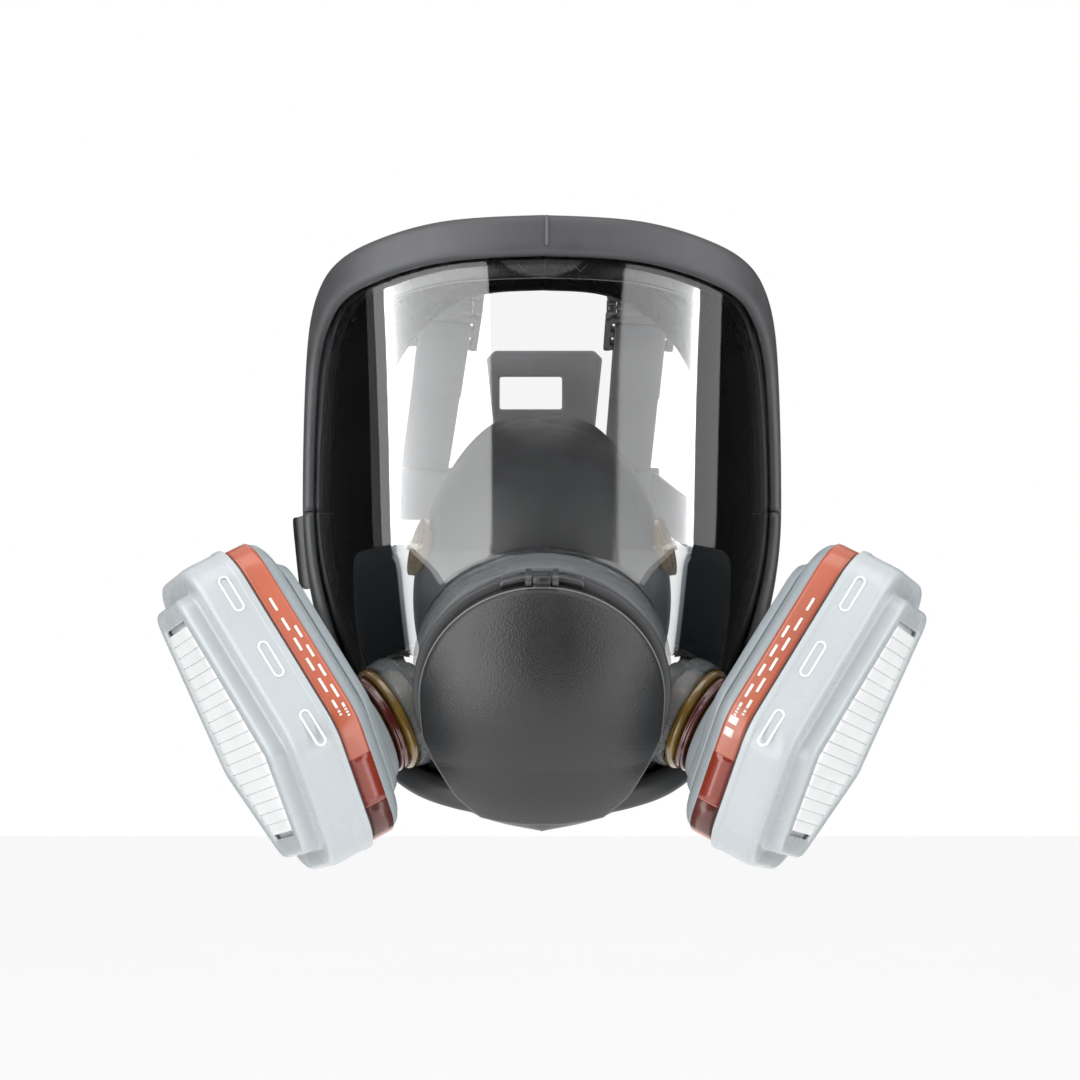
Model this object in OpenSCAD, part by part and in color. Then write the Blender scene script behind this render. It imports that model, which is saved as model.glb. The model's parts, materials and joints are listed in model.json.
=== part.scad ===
// Full face respirator: clear visor, clamped frame, rubber face seal, nose cup,
// centre adapter with exhalation valve, two bayonet cartridges and a strap harness.
// Millimetres. X is to the viewer's right, Y runs from the visor to the wearer, Z is up.

/* [Visor] */
// Half width of the visor at its widest height
visor_half_w = 81; // [78:0.5:84]
// Thickness of the clear visor
visor_t = 2.4; // [2:0.1:3]
// Depth from the temple plane to the front of the visor
visor_depth = 80; // [76:1:84]

/* [Frame] */
// Width of the frame band above the forehead
band_top = 13.5; // [12:0.5:15]
// Width of the frame band at the temples and chin
band_side = 9.5; // [8.5:0.5:10.5]
// How far the frame stands out from the visor
band_out = 4.5; // [4:0.25:5]

/* [Centre adapter] */
// Downward tilt of the exhalation axis, in degrees
adapter_tilt = 24; // [22:1:26]
// Radius of the adapter barrel
barrel_r = 39; // [38:0.5:40]
// How far the barrel stands out of the visor
barrel_len = 26; // [24:1:28]

/* [Cartridges] */
// Length of a cartridge along its long axis
cart_len = 106; // [100:1:110]
// Width of a cartridge
cart_w = 86; // [80:1:90]
// Height of the cartridge body behind its filter holder
cart_body = 22; // [20:1:24]
// Distance the cartridge turns from locked to free, in degrees
bayonet_turn = 90; // [60:15:90]

/* [Harness] */
// Width of the woven strap
strap_w = 19; // [16:1:22]
// Thickness of the woven strap
strap_t = 1.6; // [1.2:0.1:2]
// Width of the plate behind the head
crown_w = 47; // [44:1:50]

/* [Hidden] */
SIDES = ["left", "right"];
CORNERS = ["upper_left", "upper_right", "lower_left", "lower_right"];
$fn = 64;

// Clearances
fit_gap = 0.25;   // between pieces that touch on the real mask
slide_gap = 0.06; // radial, between a moving piece and its pin

function unit(v) = v / norm(v);
function mix(a, b, s) = a + (b - a) * s;
function side_sign(side) = side == "left" ? -1 : 1;
function mirrored(p) = [-p[0], p[1], p[2]];

// Smooth curve through a list of points, u from 0 to 1
function spline(list, u) =
    let (n = len(list) - 1, x = min(max(u, 0), 1) * n, i = min(floor(x), n - 1), f = x - i,
         a = list[max(i - 1, 0)], b = list[i], c = list[i + 1], d = list[min(i + 2, n)])
    (2 * b + (c - a) * f + (2 * a - 5 * b + 4 * c - d) * f * f
        + (3 * b - a - 3 * c + d) * f * f * f) / 2;

function total(list) = [for (x = list) 1] * list;
function signed_volume(points, faces) = total([for (f = faces) for (k = [1 : len(f) - 2])
    cross(points[f[0]] - points[0], points[f[k]] - points[0]) * (points[f[k + 1]] - points[0])]);
function reversed(list) = [for (k = [len(list) - 1 : -1 : 0]) list[k]];

// Solid skin over equal rings of points; a closed run of rings is a loop, an open one has caps
module loft(rings, loop = false) {
    n = len(rings);
    m = len(rings[0]);
    last = loop ? n - 1 : n - 2;
    points = [for (r = rings) each r];
    sides = [for (i = [0 : last]) for (j = [0 : m - 1])
        let (a = i * m + j, b = i * m + (j + 1) % m,
             c = ((i + 1) % n) * m + (j + 1) % m, d = ((i + 1) % n) * m + j)
        each [[a, b, c], [a, c, d]]];
    caps = loop ? [] : [[for (j = [m - 1 : -1 : 0]) j], [for (j = [0 : m - 1]) (n - 1) * m + j]];
    faces = concat(sides, caps);
    polyhedron(points, signed_volume(points, faces) > 0 ? [for (f = faces) reversed(f)] : faces);
}

// ---------------------------------------------------------------- visor surface
visor_mid_z = 12;     // height at which the visor is widest
visor_top_z = 96;
hole_z = -45.4;       // height of the centre adapter's axis where it crosses the visor
side_plane_y = -20;   // temple plane, where the visor turns straight back

function visor_w(z) = z > visor_mid_z
    ? visor_half_w - 5 * pow((z - visor_mid_z) / 84, 2)
    : visor_half_w - 33 * pow((visor_mid_z - z) / 102, 1.9);
function visor_front(z) = side_plane_y - visor_depth + (z > -5
    ? 16 * pow((z + 5) / 101, 1.6)
    : 32 * pow((-5 - z) / 81, 1.15));
function visor_side(z) = side_plane_y - (z > 10
    ? 10 * pow((z - 10) / 86, 2)
    : 25 * pow((10 - z) / 100, 1.5));
function visor_at(q) = let (a = q[0], z = q[1])
    [visor_w(z) * sin(a), visor_side(z) - (visor_side(z) - visor_front(z)) * cos(a), z];
function visor_normal(q) = let (e = 0.5)
    unit(cross(visor_at(q + [e, 0]) - visor_at(q - [e, 0]), visor_at(q + [0, e]) - visor_at(q - [0, e])));

// Edge of the visible visor as [angle round the visor, height], from the forehead to the chin
rim_half = [[0, 96], [25, 94.5], [47, 89], [60, 84], [68, 78], [76, 68.5], [81, 57], [84, 35],
    [85, 10], [82, -10], [78, -25], [75, -38], [73, -48], [71, -61], [62, -71], [52, -77.5],
    [40, -81.5], [20, -85], [0, -86]];
rim_n = 72; // stations round the rim
function folded(i) = let (k = ((i % rim_n) + rim_n) % rim_n) k <= rim_n / 2 ? k : rim_n - k;
function on_left(i) = (((i % rim_n) + rim_n) % rim_n) > rim_n / 2;
function rim_q(i) = let (q = spline(rim_half, folded(i) / (rim_n / 2))) on_left(i) ? [-q[0], q[1]] : q;
function rim_at(i) = visor_at(rim_q(i));
function rim_out(i) = visor_normal(rim_q(i));
function rim_wide(i) = let (t = unit(rim_at(i + 1) - rim_at(i - 1)), n = rim_out(i)) unit(cross(n, t));
function rim_point(i, w, n) = rim_at(i) + w * rim_wide(i) + n * rim_out(i);

// ---------------------------------------------------------------- local frames
// Centre adapter: z' points forward and down, y' up along its face
adapter_at = [0, -85, hole_z];
module at_adapter() translate(adapter_at) rotate([90 + adapter_tilt, 0, 0]) children();

// Bayonet: z' points out along the port, y' along the cartridge's long axis
port_at = [62, -74, -66];
port_forward = 20;    // how far the port axis points forward, in degrees
port_down = 27.6;     // how far it points down
function port_axis(s) = [s * cos(port_forward) * cos(port_down), -sin(port_forward),
    -cos(port_forward) * sin(port_down)];
function port_long(s) = [s * sin(port_down), 0, cos(port_down)];
module at_port(side) {
    s = side_sign(side);
    a = port_axis(s);
    l = port_long(s);
    m = cross(l, a);
    multmatrix([[m[0], l[0], a[0], s * port_at[0]], [m[1], l[1], a[1], port_at[1]],
        [m[2], l[2], a[2], port_at[2]], [0, 0, 0, 1]]) children();
}

// ---------------------------------------------------------------- visor
lens_edge = 5;        // how far the visor runs into its channel
hole_r = 34;
collar_r = 43.5;
collar_len = 7;
collar_in = -12;      // inner seat of the collar
boss_r = 19.5;
port_tube_r = 14.5;
boss_face = -13;      // port z' of the boss's outer face
boss_seat = -20;
boss_end = -27;

visor_steps = [0.9, 0.78, 0.64, 0.5, 0.36, 0.24];
function toward_hole(q, s) = [q[0] * s, mix(hole_z, q[1], s)];
function visor_section(i) = let (q = rim_q(i),
    outer = concat([rim_point(i, lens_edge, 0), rim_at(i), rim_point(i, -4, 0)],
        [for (s = visor_steps) visor_at(toward_hole(q, s))]),
    inner = concat([rim_point(i, lens_edge, -visor_t), rim_point(i, 0, -visor_t), rim_point(i, -4, -visor_t)],
        [for (s = visor_steps) let (p = toward_hole(q, s)) visor_at(p) - visor_t * visor_normal(p)]))
    concat(outer, reversed(inner));

// The space behind the visor, used to trim what would reach into it
module visor_core(depth) {
    heights = [for (k = [0 : 14]) -100 + k * 14];
    loft([for (z = heights) [for (a = [-88 : 11 : 88]) let (p = visor_at([a, z]) - depth * visor_normal([a, z]))
        [p[0], p[1], z]]]);
}

module visor() {
    color([0.86, 0.9, 0.92, 0.35]) difference() {
        union() {
            loft([for (i = [0 : rim_n - 1]) visor_section(i)], loop = true);
            at_adapter() translate([0, 0, collar_in]) cylinder(r = collar_r, h = collar_len - collar_in);
            for (side = SIDES) at_port(side) {
                translate([0, 0, boss_seat]) cylinder(r = boss_r, h = boss_face - boss_seat);
            }
            for (side = SIDES) difference() {
                at_port(side) translate([0, 0, boss_end]) cylinder(r = boss_r, h = boss_seat - boss_end);
                visor_core(0.4);
            }
        }
        at_adapter() translate([0, 0, -40]) cylinder(r = hole_r, h = 80);
        for (side = SIDES) at_port(side) {
            translate([0, 0, -30]) cylinder(r = port_tube_r + fit_gap, h = 40);
            translate([0, 0, boss_end - 1]) cylinder(r = 18, h = boss_seat - boss_end + 1);
            translate([0, 0, boss_face]) cylinder(r = boss_r + 0.4, h = 24);
        }
    }
}

// ---------------------------------------------------------------- frame
function frame_width(i) = mix(band_side, band_top, pow(max(0, cos(folded(i) * 180 / rim_n * 1.6)), 2));
function frame_profile(i) = let (w = frame_width(i), n = band_out)
    [[-1, 0.3], [-1.2, n - 2.2], [-0.2, n - 0.8], [1.6, n], [w - 2.8, n], [w - 0.8, n - 1.1], [w, n - 3.2],
     [w, -6.4], [w - 1.4, -8.4], [1.6, -8.4], [1.6, -6.7], [5.4, -6.7], [5.4, 0.3]];
function frame_section(i) = [for (p = frame_profile(i)) rim_point(i, p[0], p[1])];
split_i = 16;
split_gap = 0.02;
lug_x = 78;
lug_y = -12.4;
lug_z = 10;
lug_r = 4.3;
lug_gap = 0.9;
screw_r = 1.9;

module frame_lugs(low, high) {
    for (s = [-1, 1]) difference() {
        union() {
            translate([s * lug_x, lug_y, low]) cylinder(r = lug_r, h = high - low);
            translate([s * lug_x - 3.2, lug_y - 8, low]) cube([6.4, 8, high - low]);
        }
        translate([s * lug_x, lug_y, low - 1]) cylinder(r = screw_r + fit_gap, h = high - low + 2);
    }
}
module upper_frame() {
    color([0.3, 0.31, 0.32]) union() {
        loft([for (i = concat([split_gap - split_i], [for (k = [1 - split_i : split_i - 1]) k], [split_i - split_gap])) frame_section(i)]);
        frame_lugs(lug_z + lug_gap, lug_z + 6.4);
        translate([0, -88.4, 100]) rotate([-14, 0, 0]) translate([-1.1, -1.6, 0]) cube([2.2, 3, 9.4]);
    }
}
module lower_frame() {
    color([0.24, 0.25, 0.26]) difference() {
        union() {
            loft([for (i = concat([split_i + split_gap], [for (k = [split_i + 1 : rim_n - split_i - 1]) k],
                [rim_n - split_i - split_gap])) frame_section(i)]);
            frame_lugs(lug_z - 6.4, lug_z - lug_gap);
        }
        for (side = SIDES) at_port(side) translate([0, 0, -40]) cylinder(r = boss_r + 0.5, h = 60);
        at_adapter() translate([0, 0, collar_in - 0.4]) cylinder(r = collar_r + 0.4, h = 40);
    }
}
module frame_screws() {
    color([0.72, 0.73, 0.75]) for (s = [-1, 1]) translate([s * lug_x, lug_y, lug_z]) difference() {
        union() {
            translate([0, 0, -9]) cylinder(r = screw_r, h = 18.4);
            translate([0, 0, -9]) cylinder(r = 3.5, h = 2.4);
        }
        translate([-0.5, -4, -10]) cube([1, 8, 2]);
    }
}
module frame_nuts() {
    color([0.62, 0.63, 0.65]) for (s = [-1, 1]) translate([s * lug_x, lug_y, lug_z + 6.7]) difference() {
        cylinder(r = 3.6, h = 2.6);
        translate([0, 0, -1]) cylinder(r = screw_r, h = 5);
    }
}

// ---------------------------------------------------------------- face seal
seal_rear = [[0, -26, 98], [28, -22, 95], [52, -10, 82], [66, -1, 58], [70, 0, 25], [69, 0, -5],
    [64, -1, -38], [51, -8, -72], [27, -24, -96], [0, -34, -103]];
seal_open = [[0, -36, 88], [24, -31, 86], [44, -18, 74], [56, -8, 54], [59.5, -4, 25], [58, -4, -2],
    [53, -6, -32], [42, -14, -62], [22, -30, -84], [0, -42, -90]];
function ring_at(list, i) = let (p = spline(list, folded(i) / (rim_n / 2))) on_left(i) ? mirrored(p) : p;
function seal_section(i) = let (
    rear = ring_at(seal_rear, i), open = ring_at(seal_open, i), inward = unit([open[0] - rear[0], 0, open[2] - rear[2]]),
    wall = rim_point(i, 0.9, -9.4), bead_in = rim_point(i, -6.5, -6.6), half = mix(wall, rear, 0.5) - 2.4 * inward)
    [rim_point(i, 5, -2.9), rim_point(i, 5, -6.3), rim_point(i, 0.9, -6.3), wall, half, rear - 0.8 * inward,
     rear + 1.2 * inward + [0, 0.9, 0], mix(rear, open, 0.55) + [0, 1.2, 0], open, open + [0, -2, 0],
     mix(rear, open, 0.55) + [0, -1.4, 0], rear + 2.4 * inward + [0, -2.2, 0], half + 2.6 * inward, bead_in,
     rim_point(i, -6.3, -2.9)];

// Harness corners: where each buckle's pin sits, which way its strap runs and which way the pin lies
function corner_pin(c) = c == "upper_left" ? [-35, 14, 87] : c == "upper_right" ? [37, 14, 86]
    : c == "lower_left" ? [-86, 12, -4] : [81, 13, -4];
function corner_end(c) = c == "upper_left" ? [-47, 97, 27] : c == "upper_right" ? [34, 97, 27]
    : c == "lower_left" ? [-56, 97, 18] : [46, 97, 18];
function corner_dir(c) = unit(corner_end(c) - corner_pin(c));
function corner_upper(c) = c == "upper_left" || c == "upper_right";
function corner_across(c) = let (d = corner_dir(c), a = corner_upper(c) ? [1, 0, 0] : [0, 0, 1])
    unit(a - (a * d) * d);
module at_corner(c) {
    d = corner_dir(c);
    a = corner_across(c);
    n = cross(d, a);
    p = corner_pin(c);
    multmatrix([[a[0], d[0], -n[0], p[0]], [a[1], d[1], -n[1], p[1]], [a[2], d[2], -n[2], p[2]], [0, 0, 0, 1]])
        children();
}
pin_r = 1.3;
ear_r = 3;
tab_w = 26;

// Tab from the seal to the buckle pin, with two ears round the pin
function tab_root(c) = corner_upper(c) ? [corner_pin(c)[0] * 0.9, -24, 94] : [sign(corner_pin(c)[0]) * 71.3, -6.2, -4.35];
function tab_bulge(c) = c == "lower_left" ? 8 : c == "lower_right" ? 3 : 5;
module seal_tab(c) {
    p = corner_pin(c);
    a = corner_across(c);
    d = corner_dir(c);
    n = cross(d, a);
    root = tab_root(c);
    stop = p - 4.6 * d;
    rows = [for (u = [0 : 0.25 : 1]) let (m = mix(root, stop, u) + tab_bulge(c) * sin(u * 180) * (corner_upper(c) ? [0, 0, 1]
        : [sign(p[0]), 0, 0]), w = mix(14, tab_w / 2, u))
        [m - w * a - 1.4 * n, m + w * a - 1.4 * n, m + w * a + 1.4 * n, m - w * a + 1.4 * n]];
    difference() {
        union() {
            loft(rows);
            at_corner(c) for (x = [-tab_w / 2, tab_w / 2 - 3.4]) {
                translate([x, 0, 0]) rotate([0, 90, 0]) cylinder(r = ear_r, h = 3.4);
                translate([x, -6.4, -1.4]) cube([3.4, 6.4, 2.8]);
            }
        }
        at_corner(c) translate([-tab_w, 0, 0]) rotate([0, 90, 0]) cylinder(r = pin_r, h = 2 * tab_w);
    }
}
module face_seal() {
    color([0.17, 0.18, 0.19]) union() {
        difference() {
            loft([for (i = [0 : rim_n - 1]) seal_section(i)], loop = true);
            for (side = SIDES) at_port(side) translate([0, 0, -36]) cylinder(r = boss_r + 0.5, h = 40);
            at_adapter() translate([0, 0, collar_in - 0.4]) cylinder(r = collar_r + 0.5, h = 30);
        }
        for (c = CORNERS) seal_tab(c);
    }
}

// ---------------------------------------------------------------- nose cup
cup_rear = [[0, -20, 46], [19, -18, 41], [35, -12, 22], [44, -8, -5], [45, -10, -28], [38, -14, -52],
    [24, -22, -72], [0, -28, -82]];
cup_n = 40;
cup_t = 2;
function adapter_pt(x, y, z) = adapter_at + [x, -y * sin(adapter_tilt) - z * cos(adapter_tilt),
    y * cos(adapter_tilt) - z * sin(adapter_tilt)];
function cup_back(u) = let (v = ((u % 1) + 1) % 1, p = spline(cup_rear, v <= 0.5 ? 2 * v : 2 - 2 * v))
    v <= 0.5 ? p : mirrored(p);
function cup_at(u, s) = let (f = adapter_pt(33.9 * sin(360 * u), 33.9 * cos(360 * u), -18), r = cup_back(u),
    lift = sin(180 * pow(s, 0.75)) * (cos(360 * u) > 0 ? 9 + 10 * cos(360 * u) : 9 + 7 * cos(360 * u)))
    mix(f, r, s) + lift * [sin(360 * u) * 0.6, -0.3, cos(360 * u) * 0.8];
function cup_normal(u, s) = let (e = 0.004)
    unit(cross(cup_at(u + e, s) - cup_at(u - e, s), cup_at(u, s + e) - cup_at(u, s - e)));
function cup_section(u) = let (steps = [0.02, 0.2, 0.4, 0.6, 0.8, 1],
    outer = concat([adapter_pt(36 * sin(360 * u), 36 * cos(360 * u), -17.6)], [for (s = steps) cup_at(u, s)]),
    lip = [cup_back(u) + [-9 * sin(360 * u), 2, -9 * cos(360 * u)], cup_back(u) + [-9 * sin(360 * u), 0, -9 * cos(360 * u)]],
    inner = concat([for (k = [5 : -1 : 0]) cup_at(u, min(steps[k], 0.96)) - cup_t * cup_normal(u, min(steps[k], 0.96))],
        [adapter_pt(33.9 * sin(360 * u), 33.9 * cos(360 * u), -21.4)]))
    concat(outer, lip, inner);
valve_u = 0.17;
valve_s = 0.42;
module at_nose_valve(side) {
    s = side_sign(side);
    n0 = cup_normal(valve_u, valve_s);
    p0 = cup_at(valve_u, valve_s);
    n = s > 0 ? n0 : mirrored(n0);
    p = s > 0 ? p0 : mirrored(p0);
    x = unit(cross([0, 0, 1], n));
    y = cross(n, x);
    multmatrix([[x[0], y[0], n[0], p[0]], [x[1], y[1], n[1], p[1]], [x[2], y[2], n[2], p[2]], [0, 0, 0, 1]])
        children();
}
module nose_cup() {
    color([0.28, 0.29, 0.3]) difference() {
        loft([for (k = [0 : cup_n - 1]) cup_section(k / cup_n)], loop = true);
        for (side = SIDES) at_nose_valve(side) translate([0, 0, -6]) cylinder(r = 8.3, h = 12);
    }
}
module nose_valve_seat(side) {
    color([0.72, 0.55, 0.2]) at_nose_valve(side) difference() {
        union() {
            translate([0, 0, -3.5]) cylinder(r = 8, h = 6);
            translate([0, 0, 1.2]) cylinder(r = 10.2, h = 1.6);
        }
        for (a = [0 : 90 : 270]) rotate(a) translate([0, 0, -5]) intersection() {
            difference() {
                cylinder(r = 6.6, h = 10);
                cylinder(r = 2.4, h = 10);
            }
            translate([0.7, 0.7, 0]) cube([8, 8, 10]);
        }
        translate([0, 0, -5]) cylinder(r = 1.1 + slide_gap, h = 10);
    }
}
module nose_valve_flap(side) {
    color([0.85, 0.83, 0.76]) at_nose_valve(side) union() {
        translate([0, 0, -4.4]) cylinder(r = 7.2, h = 0.6);
        translate([0, 0, -4.4]) cylinder(r = 1.1, h = 9.6);
        translate([0, 0, 4.9]) cylinder(r = 1.8, h = 0.8);
    }
}

// ---------------------------------------------------------------- centre adapter
flange_z = 9;
flange_top = 13;
valve_y = -11;
voice_y = 16;
hinge_y = 42.4;
hinge_z = 15.8;
hinge_r = 1.9;
hinge_pin = 0.9;
module adapter_body() {
    color([0.2, 0.21, 0.22]) at_adapter() difference() {
        union() {
            translate([0, 0, -21]) cylinder(r = hole_r - fit_gap, h = 21 + flange_z);
            translate([0, 0, flange_z]) cylinder(r = 42.5, h = flange_top - flange_z);
            for (x = [-5.4, 3.4]) {
                translate([x, hinge_y, hinge_z]) rotate([0, 90, 0]) cylinder(r = hinge_r, h = 2);
                translate([x + 0.1, hinge_y - 1.6, flange_z + 1]) cube([1.8, 3.2, hinge_z - flange_z - 1]);
            }
            translate([-4.6, hinge_y, hinge_z]) rotate([0, 90, 0]) cylinder(r = hinge_pin, h = 9.2);
        }
        translate([0, 0, -22]) cylinder(r = 30.5, h = 22 + flange_z);
        translate([0, voice_y, 0]) cylinder(r = 9.6, h = 20);
        translate([0, voice_y, flange_z + 1.4]) cylinder(r = 11.6, h = 10);
        translate([0, valve_y, 0]) difference() {
            cylinder(r = 12.5, h = 20);
            cylinder(r = 2.6, h = flange_top - 0.4);
            for (a = [0 : 60 : 120]) rotate(a) translate([-13, -0.9, 0]) cube([26, 1.8, flange_top - 0.4]);
        }
        translate([0, valve_y, 0]) cylinder(r = 1.4 + slide_gap, h = 20);
    }
}
module adapter_gasket() {
    color([0.1, 0.1, 0.1]) at_adapter() translate([0, 0, collar_len + 0.2]) difference() {
        cylinder(r = 41.6, h = 1.6);
        translate([0, 0, -1]) cylinder(r = 35, h = 4);
    }
}
module adapter_clamp_ring() {
    color([0.15, 0.15, 0.16]) at_adapter() translate([0, 0, -16.6]) difference() {
        cylinder(r = 40, h = 4.4);
        translate([0, 0, -1]) cylinder(r = hole_r + 0.1, h = 7);
        for (a = [0 : 30 : 330]) rotate(a) translate([41.2, 0, -1]) cylinder(r = 2.4, h = 7);
    }
}
module speech_diaphragm() {
    color([0.75, 0.72, 0.6]) at_adapter() translate([0, voice_y, flange_z + 1.5]) cylinder(r = 11.3, h = 0.3);
}
module diaphragm_ring() {
    color([0.13, 0.13, 0.14]) at_adapter() translate([0, voice_y, flange_z + 1.9]) difference() {
        cylinder(r = 11.4, h = 1.9);
        for (x = [-7.6 : 3.8 : 7.6]) translate([x - 1, -8, -1])
            cube([2, 16, 4]);
    }
}
module exhalation_flap() {
    color([0.78, 0.78, 0.74]) at_adapter() translate([0, valve_y, 0]) union() {
        translate([0, 0, flange_top + 0.3]) cylinder(r = 14.6, h = 0.8);
        translate([0, 0, flange_z - 4]) cylinder(r = 1.4, h = 4 + flange_top - flange_z + 1);
        translate([0, 0, flange_z - 4.2]) cylinder(r = 2.2, h = 1);
    }
}

// Outline of the cover: a disc whose lower part tapers to a straight spout
cover_side = [[40.6, -3], [39.9, -15.2], [36.7, -24.3], [28.9, -37], [20.6, -44]];
module cover_outline(inset) {
    half = [for (p = cover_side) [p[0] - inset, p[1] + (p[1] < -40 ? inset : 0)]];
    union() {
        circle(r = 40.6 - inset);
        polygon(concat(half, [for (k = [len(half) - 1 : -1 : 0]) [-half[k][0], half[k][1]]]));
    }
}
cover_t = 2.4;
cover_back = 13.4;
cover_apex = 34;
cover_sphere = 59.5;
module cover_solid(inset) {
    intersection() {
        translate([0, 0, cover_back - (inset > 0 ? 2 : 0)]) linear_extrude(40) cover_outline(inset);
        union() {
            translate([0, 0, cover_apex - cover_sphere]) sphere(r = cover_sphere - inset, $fn = 128);
            translate([0, -20, cover_apex - cover_sphere + 6]) sphere(r = 50 - inset, $fn = 128);
        }
    }
}
module exhalation_cover() {
    color([0.16, 0.17, 0.18]) at_adapter() difference() {
        union() {
            difference() {
                cover_solid(0);
                cover_solid(cover_t);
            }
            difference() {
                union() {
                    translate([-3, hinge_y, hinge_z]) rotate([0, 90, 0]) cylinder(r = hinge_r, h = 6);
                    translate([-3, 38.4, hinge_z - 0.8]) cube([6, hinge_y - 38.4, 2.6]);
                }
                cover_solid(cover_t);
            }
        }
        translate([-4, hinge_y, hinge_z]) rotate([0, 90, 0]) cylinder(r = hinge_pin + slide_gap, h = 8);
        for (x = [-6, 3]) translate([x, 38.5, cover_back - 1]) cube([3, 10, 6]);
        translate([-15, -50, cover_back - 1]) cube([30, 16, 7.8]);
    }
}

// ---------------------------------------------------------------- ports
module port(side) {
    color([0.62, 0.5, 0.2]) at_port(side) difference() {
        union() {
            translate([0, 0, -26.6]) cylinder(r = port_tube_r, h = 26.6 - 9.6);
            translate([0, 0, boss_face + 0.2]) cylinder(r = 18.6, h = 3.2);
            translate([0, 0, -10]) cylinder(r = 13, h = 9);
            for (a = [0 : 120 : 240]) rotate(a + 30) intersection() {
                translate([0, 0, -3.4]) cylinder(r = 15.6, h = 2.4);
                translate([10, -4.5, -4]) cube([8, 9, 5]);
            }
        }
        translate([0, 0, -30]) cylinder(r = 11.4, h = 30 - 13.2);
        translate([0, 0, -11.6]) cylinder(r = 11.4, h = 20);
        for (a = [0 : 90 : 270]) rotate(a) translate([0, 0, -15]) intersection() {
            difference() {
                cylinder(r = 9.4, h = 10);
                cylinder(r = 2.6, h = 10);
            }
            translate([0.8, 0.8, 0]) cube([10, 10, 10]);
        }
        translate([0, 0, -15]) cylinder(r = 1.3 + slide_gap, h = 10);
    }
}
module port_gasket(side) {
    color([0.45, 0.08, 0.08]) at_port(side) translate([0, 0, -9.4]) difference() {
        cylinder(r = 17.6, h = 3.6);
        translate([0, 0, -1]) cylinder(r = 13.2, h = 6);
    }
}
module port_nut(side) {
    color([0.2, 0.2, 0.21]) at_port(side) translate([0, 0, boss_seat - 4.3]) difference() {
        cylinder(r = 17.4, h = 4);
        translate([0, 0, -1]) cylinder(r = port_tube_r + 0.1, h = 6);
        for (a = [0 : 60 : 300]) rotate(a) translate([18.6, 0, -1]) cylinder(r = 2.2, h = 6);
    }
}
module inhalation_flap(side) {
    color([0.82, 0.8, 0.74]) at_port(side) union() {
        translate([0, 0, -14.2]) cylinder(r = 10.4, h = 0.7);
        translate([0, 0, -14.2]) cylinder(r = 1.3, h = 5.6);
        translate([0, 0, -9.9]) cylinder(r = 2, h = 1.3);
    }
}

// ---------------------------------------------------------------- cartridges
cart_shift = 21;      // from the bayonet to the middle of the cartridge
cart_round = 14;
cart_corners = [for (p = [[0.53, 1], [-0.53, 1], [-1, -0.3], [-0.46, -1], [0.46, -1], [1, -0.3]])
    [p[0] * (cart_w / 2 - cart_round), p[1] * (cart_len / 2 - cart_round)]];
function heading(v) = atan2(v[1], v[0]);
function outline(grow, scale = 1) = let (n = len(cart_corners)) [for (k = [0 : n - 1]) let (
    before = cart_corners[k] - cart_corners[(k + n - 1) % n], after = cart_corners[(k + 1) % n] - cart_corners[k],
    a = heading(before) - 90, turn = (heading(after) - heading(before) + 720) % 360)
    for (j = [0 : 5]) scale * (cart_corners[k] + (cart_round + grow) * [cos(a + turn * j / 5), sin(a + turn * j / 5)])];
function layer(grow, z, scale = 1) = [for (p = outline(grow, scale)) [p[0], p[1] + cart_shift * 1, z]];
module layers(list) loft([for (l = list) layer(l[0], l[1], l[2])]);
module slab(grow, low, high, scale = 1)
    translate([0, cart_shift, low]) linear_extrude(high - low) polygon(outline(grow, scale));

module cartridge_base(side) {
    color([0.62, 0.65, 0.67]) at_port(side) difference() {
        union() {
            layers([[0, 0, 0.8], [0, 3.6, 0.84]]);
            translate([0, 0, -5]) cylinder(r = 18.6, h = 5.2);
            cylinder(r = 18.6, h = 9);
        }
        translate([0, 0, -6]) cylinder(r = 13.6, h = 20);
        translate([0, 0, -3.8]) cylinder(r = 16.2, h = 7);
    }
}
module cartridge_shell(side) {
    color([0.68, 0.71, 0.73]) at_port(side) difference() {
        layers([[0, 3.9, 0.84], [0, 5, 0.93], [0, 7.2, 0.985], [0, 9, 1], [0, cart_body, 1]]);
        layers([[-2, 6.4, 0.9], [-2, 9, 0.985], [-2, cart_body + 1, 1]]);
        translate([0, 0, 3]) cylinder(r = 19, h = 5);
    }
}
module label_band(side) {
    color([0.7, 0.28, 0.15]) at_port(side) difference() {
        slab(0.75, 9.2, 17.2);
        slab(0.2, 9, 18);
    }
}
module carbon_bed(side) {
    color([0.12, 0.12, 0.12]) at_port(side) slab(-3.2, 10.5, 20.4);
}
module filter_pad(side) {
    color([0.93, 0.93, 0.92]) at_port(side) slab(-3, 22.6, 31);
}
holder_front = 33.4;
grille_front = 39.6;
module filter_holder(side) {
    color([0.9, 0.92, 0.93, 0.7]) at_port(side) difference() {
        union() {
            slab(2, 17.8, holder_front);
            slab(-6, holder_front - 1, grille_front);
        }
        slab(0.5, 17, holder_front - 1.8);
        slab(-8, holder_front - 3, grille_front - 1.8);
        for (y = [-32 : 8 : 32]) translate([-24, cart_shift + y - 2, grille_front - 3]) cube([48, 4, 6]);
        for (s = [-1, 1]) for (y = [-22, 4, 30]) translate([s * 43 - 6, cart_shift + y - 7, 19.4])
            cube([12, 13, 2.6]);
    }
}

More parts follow.
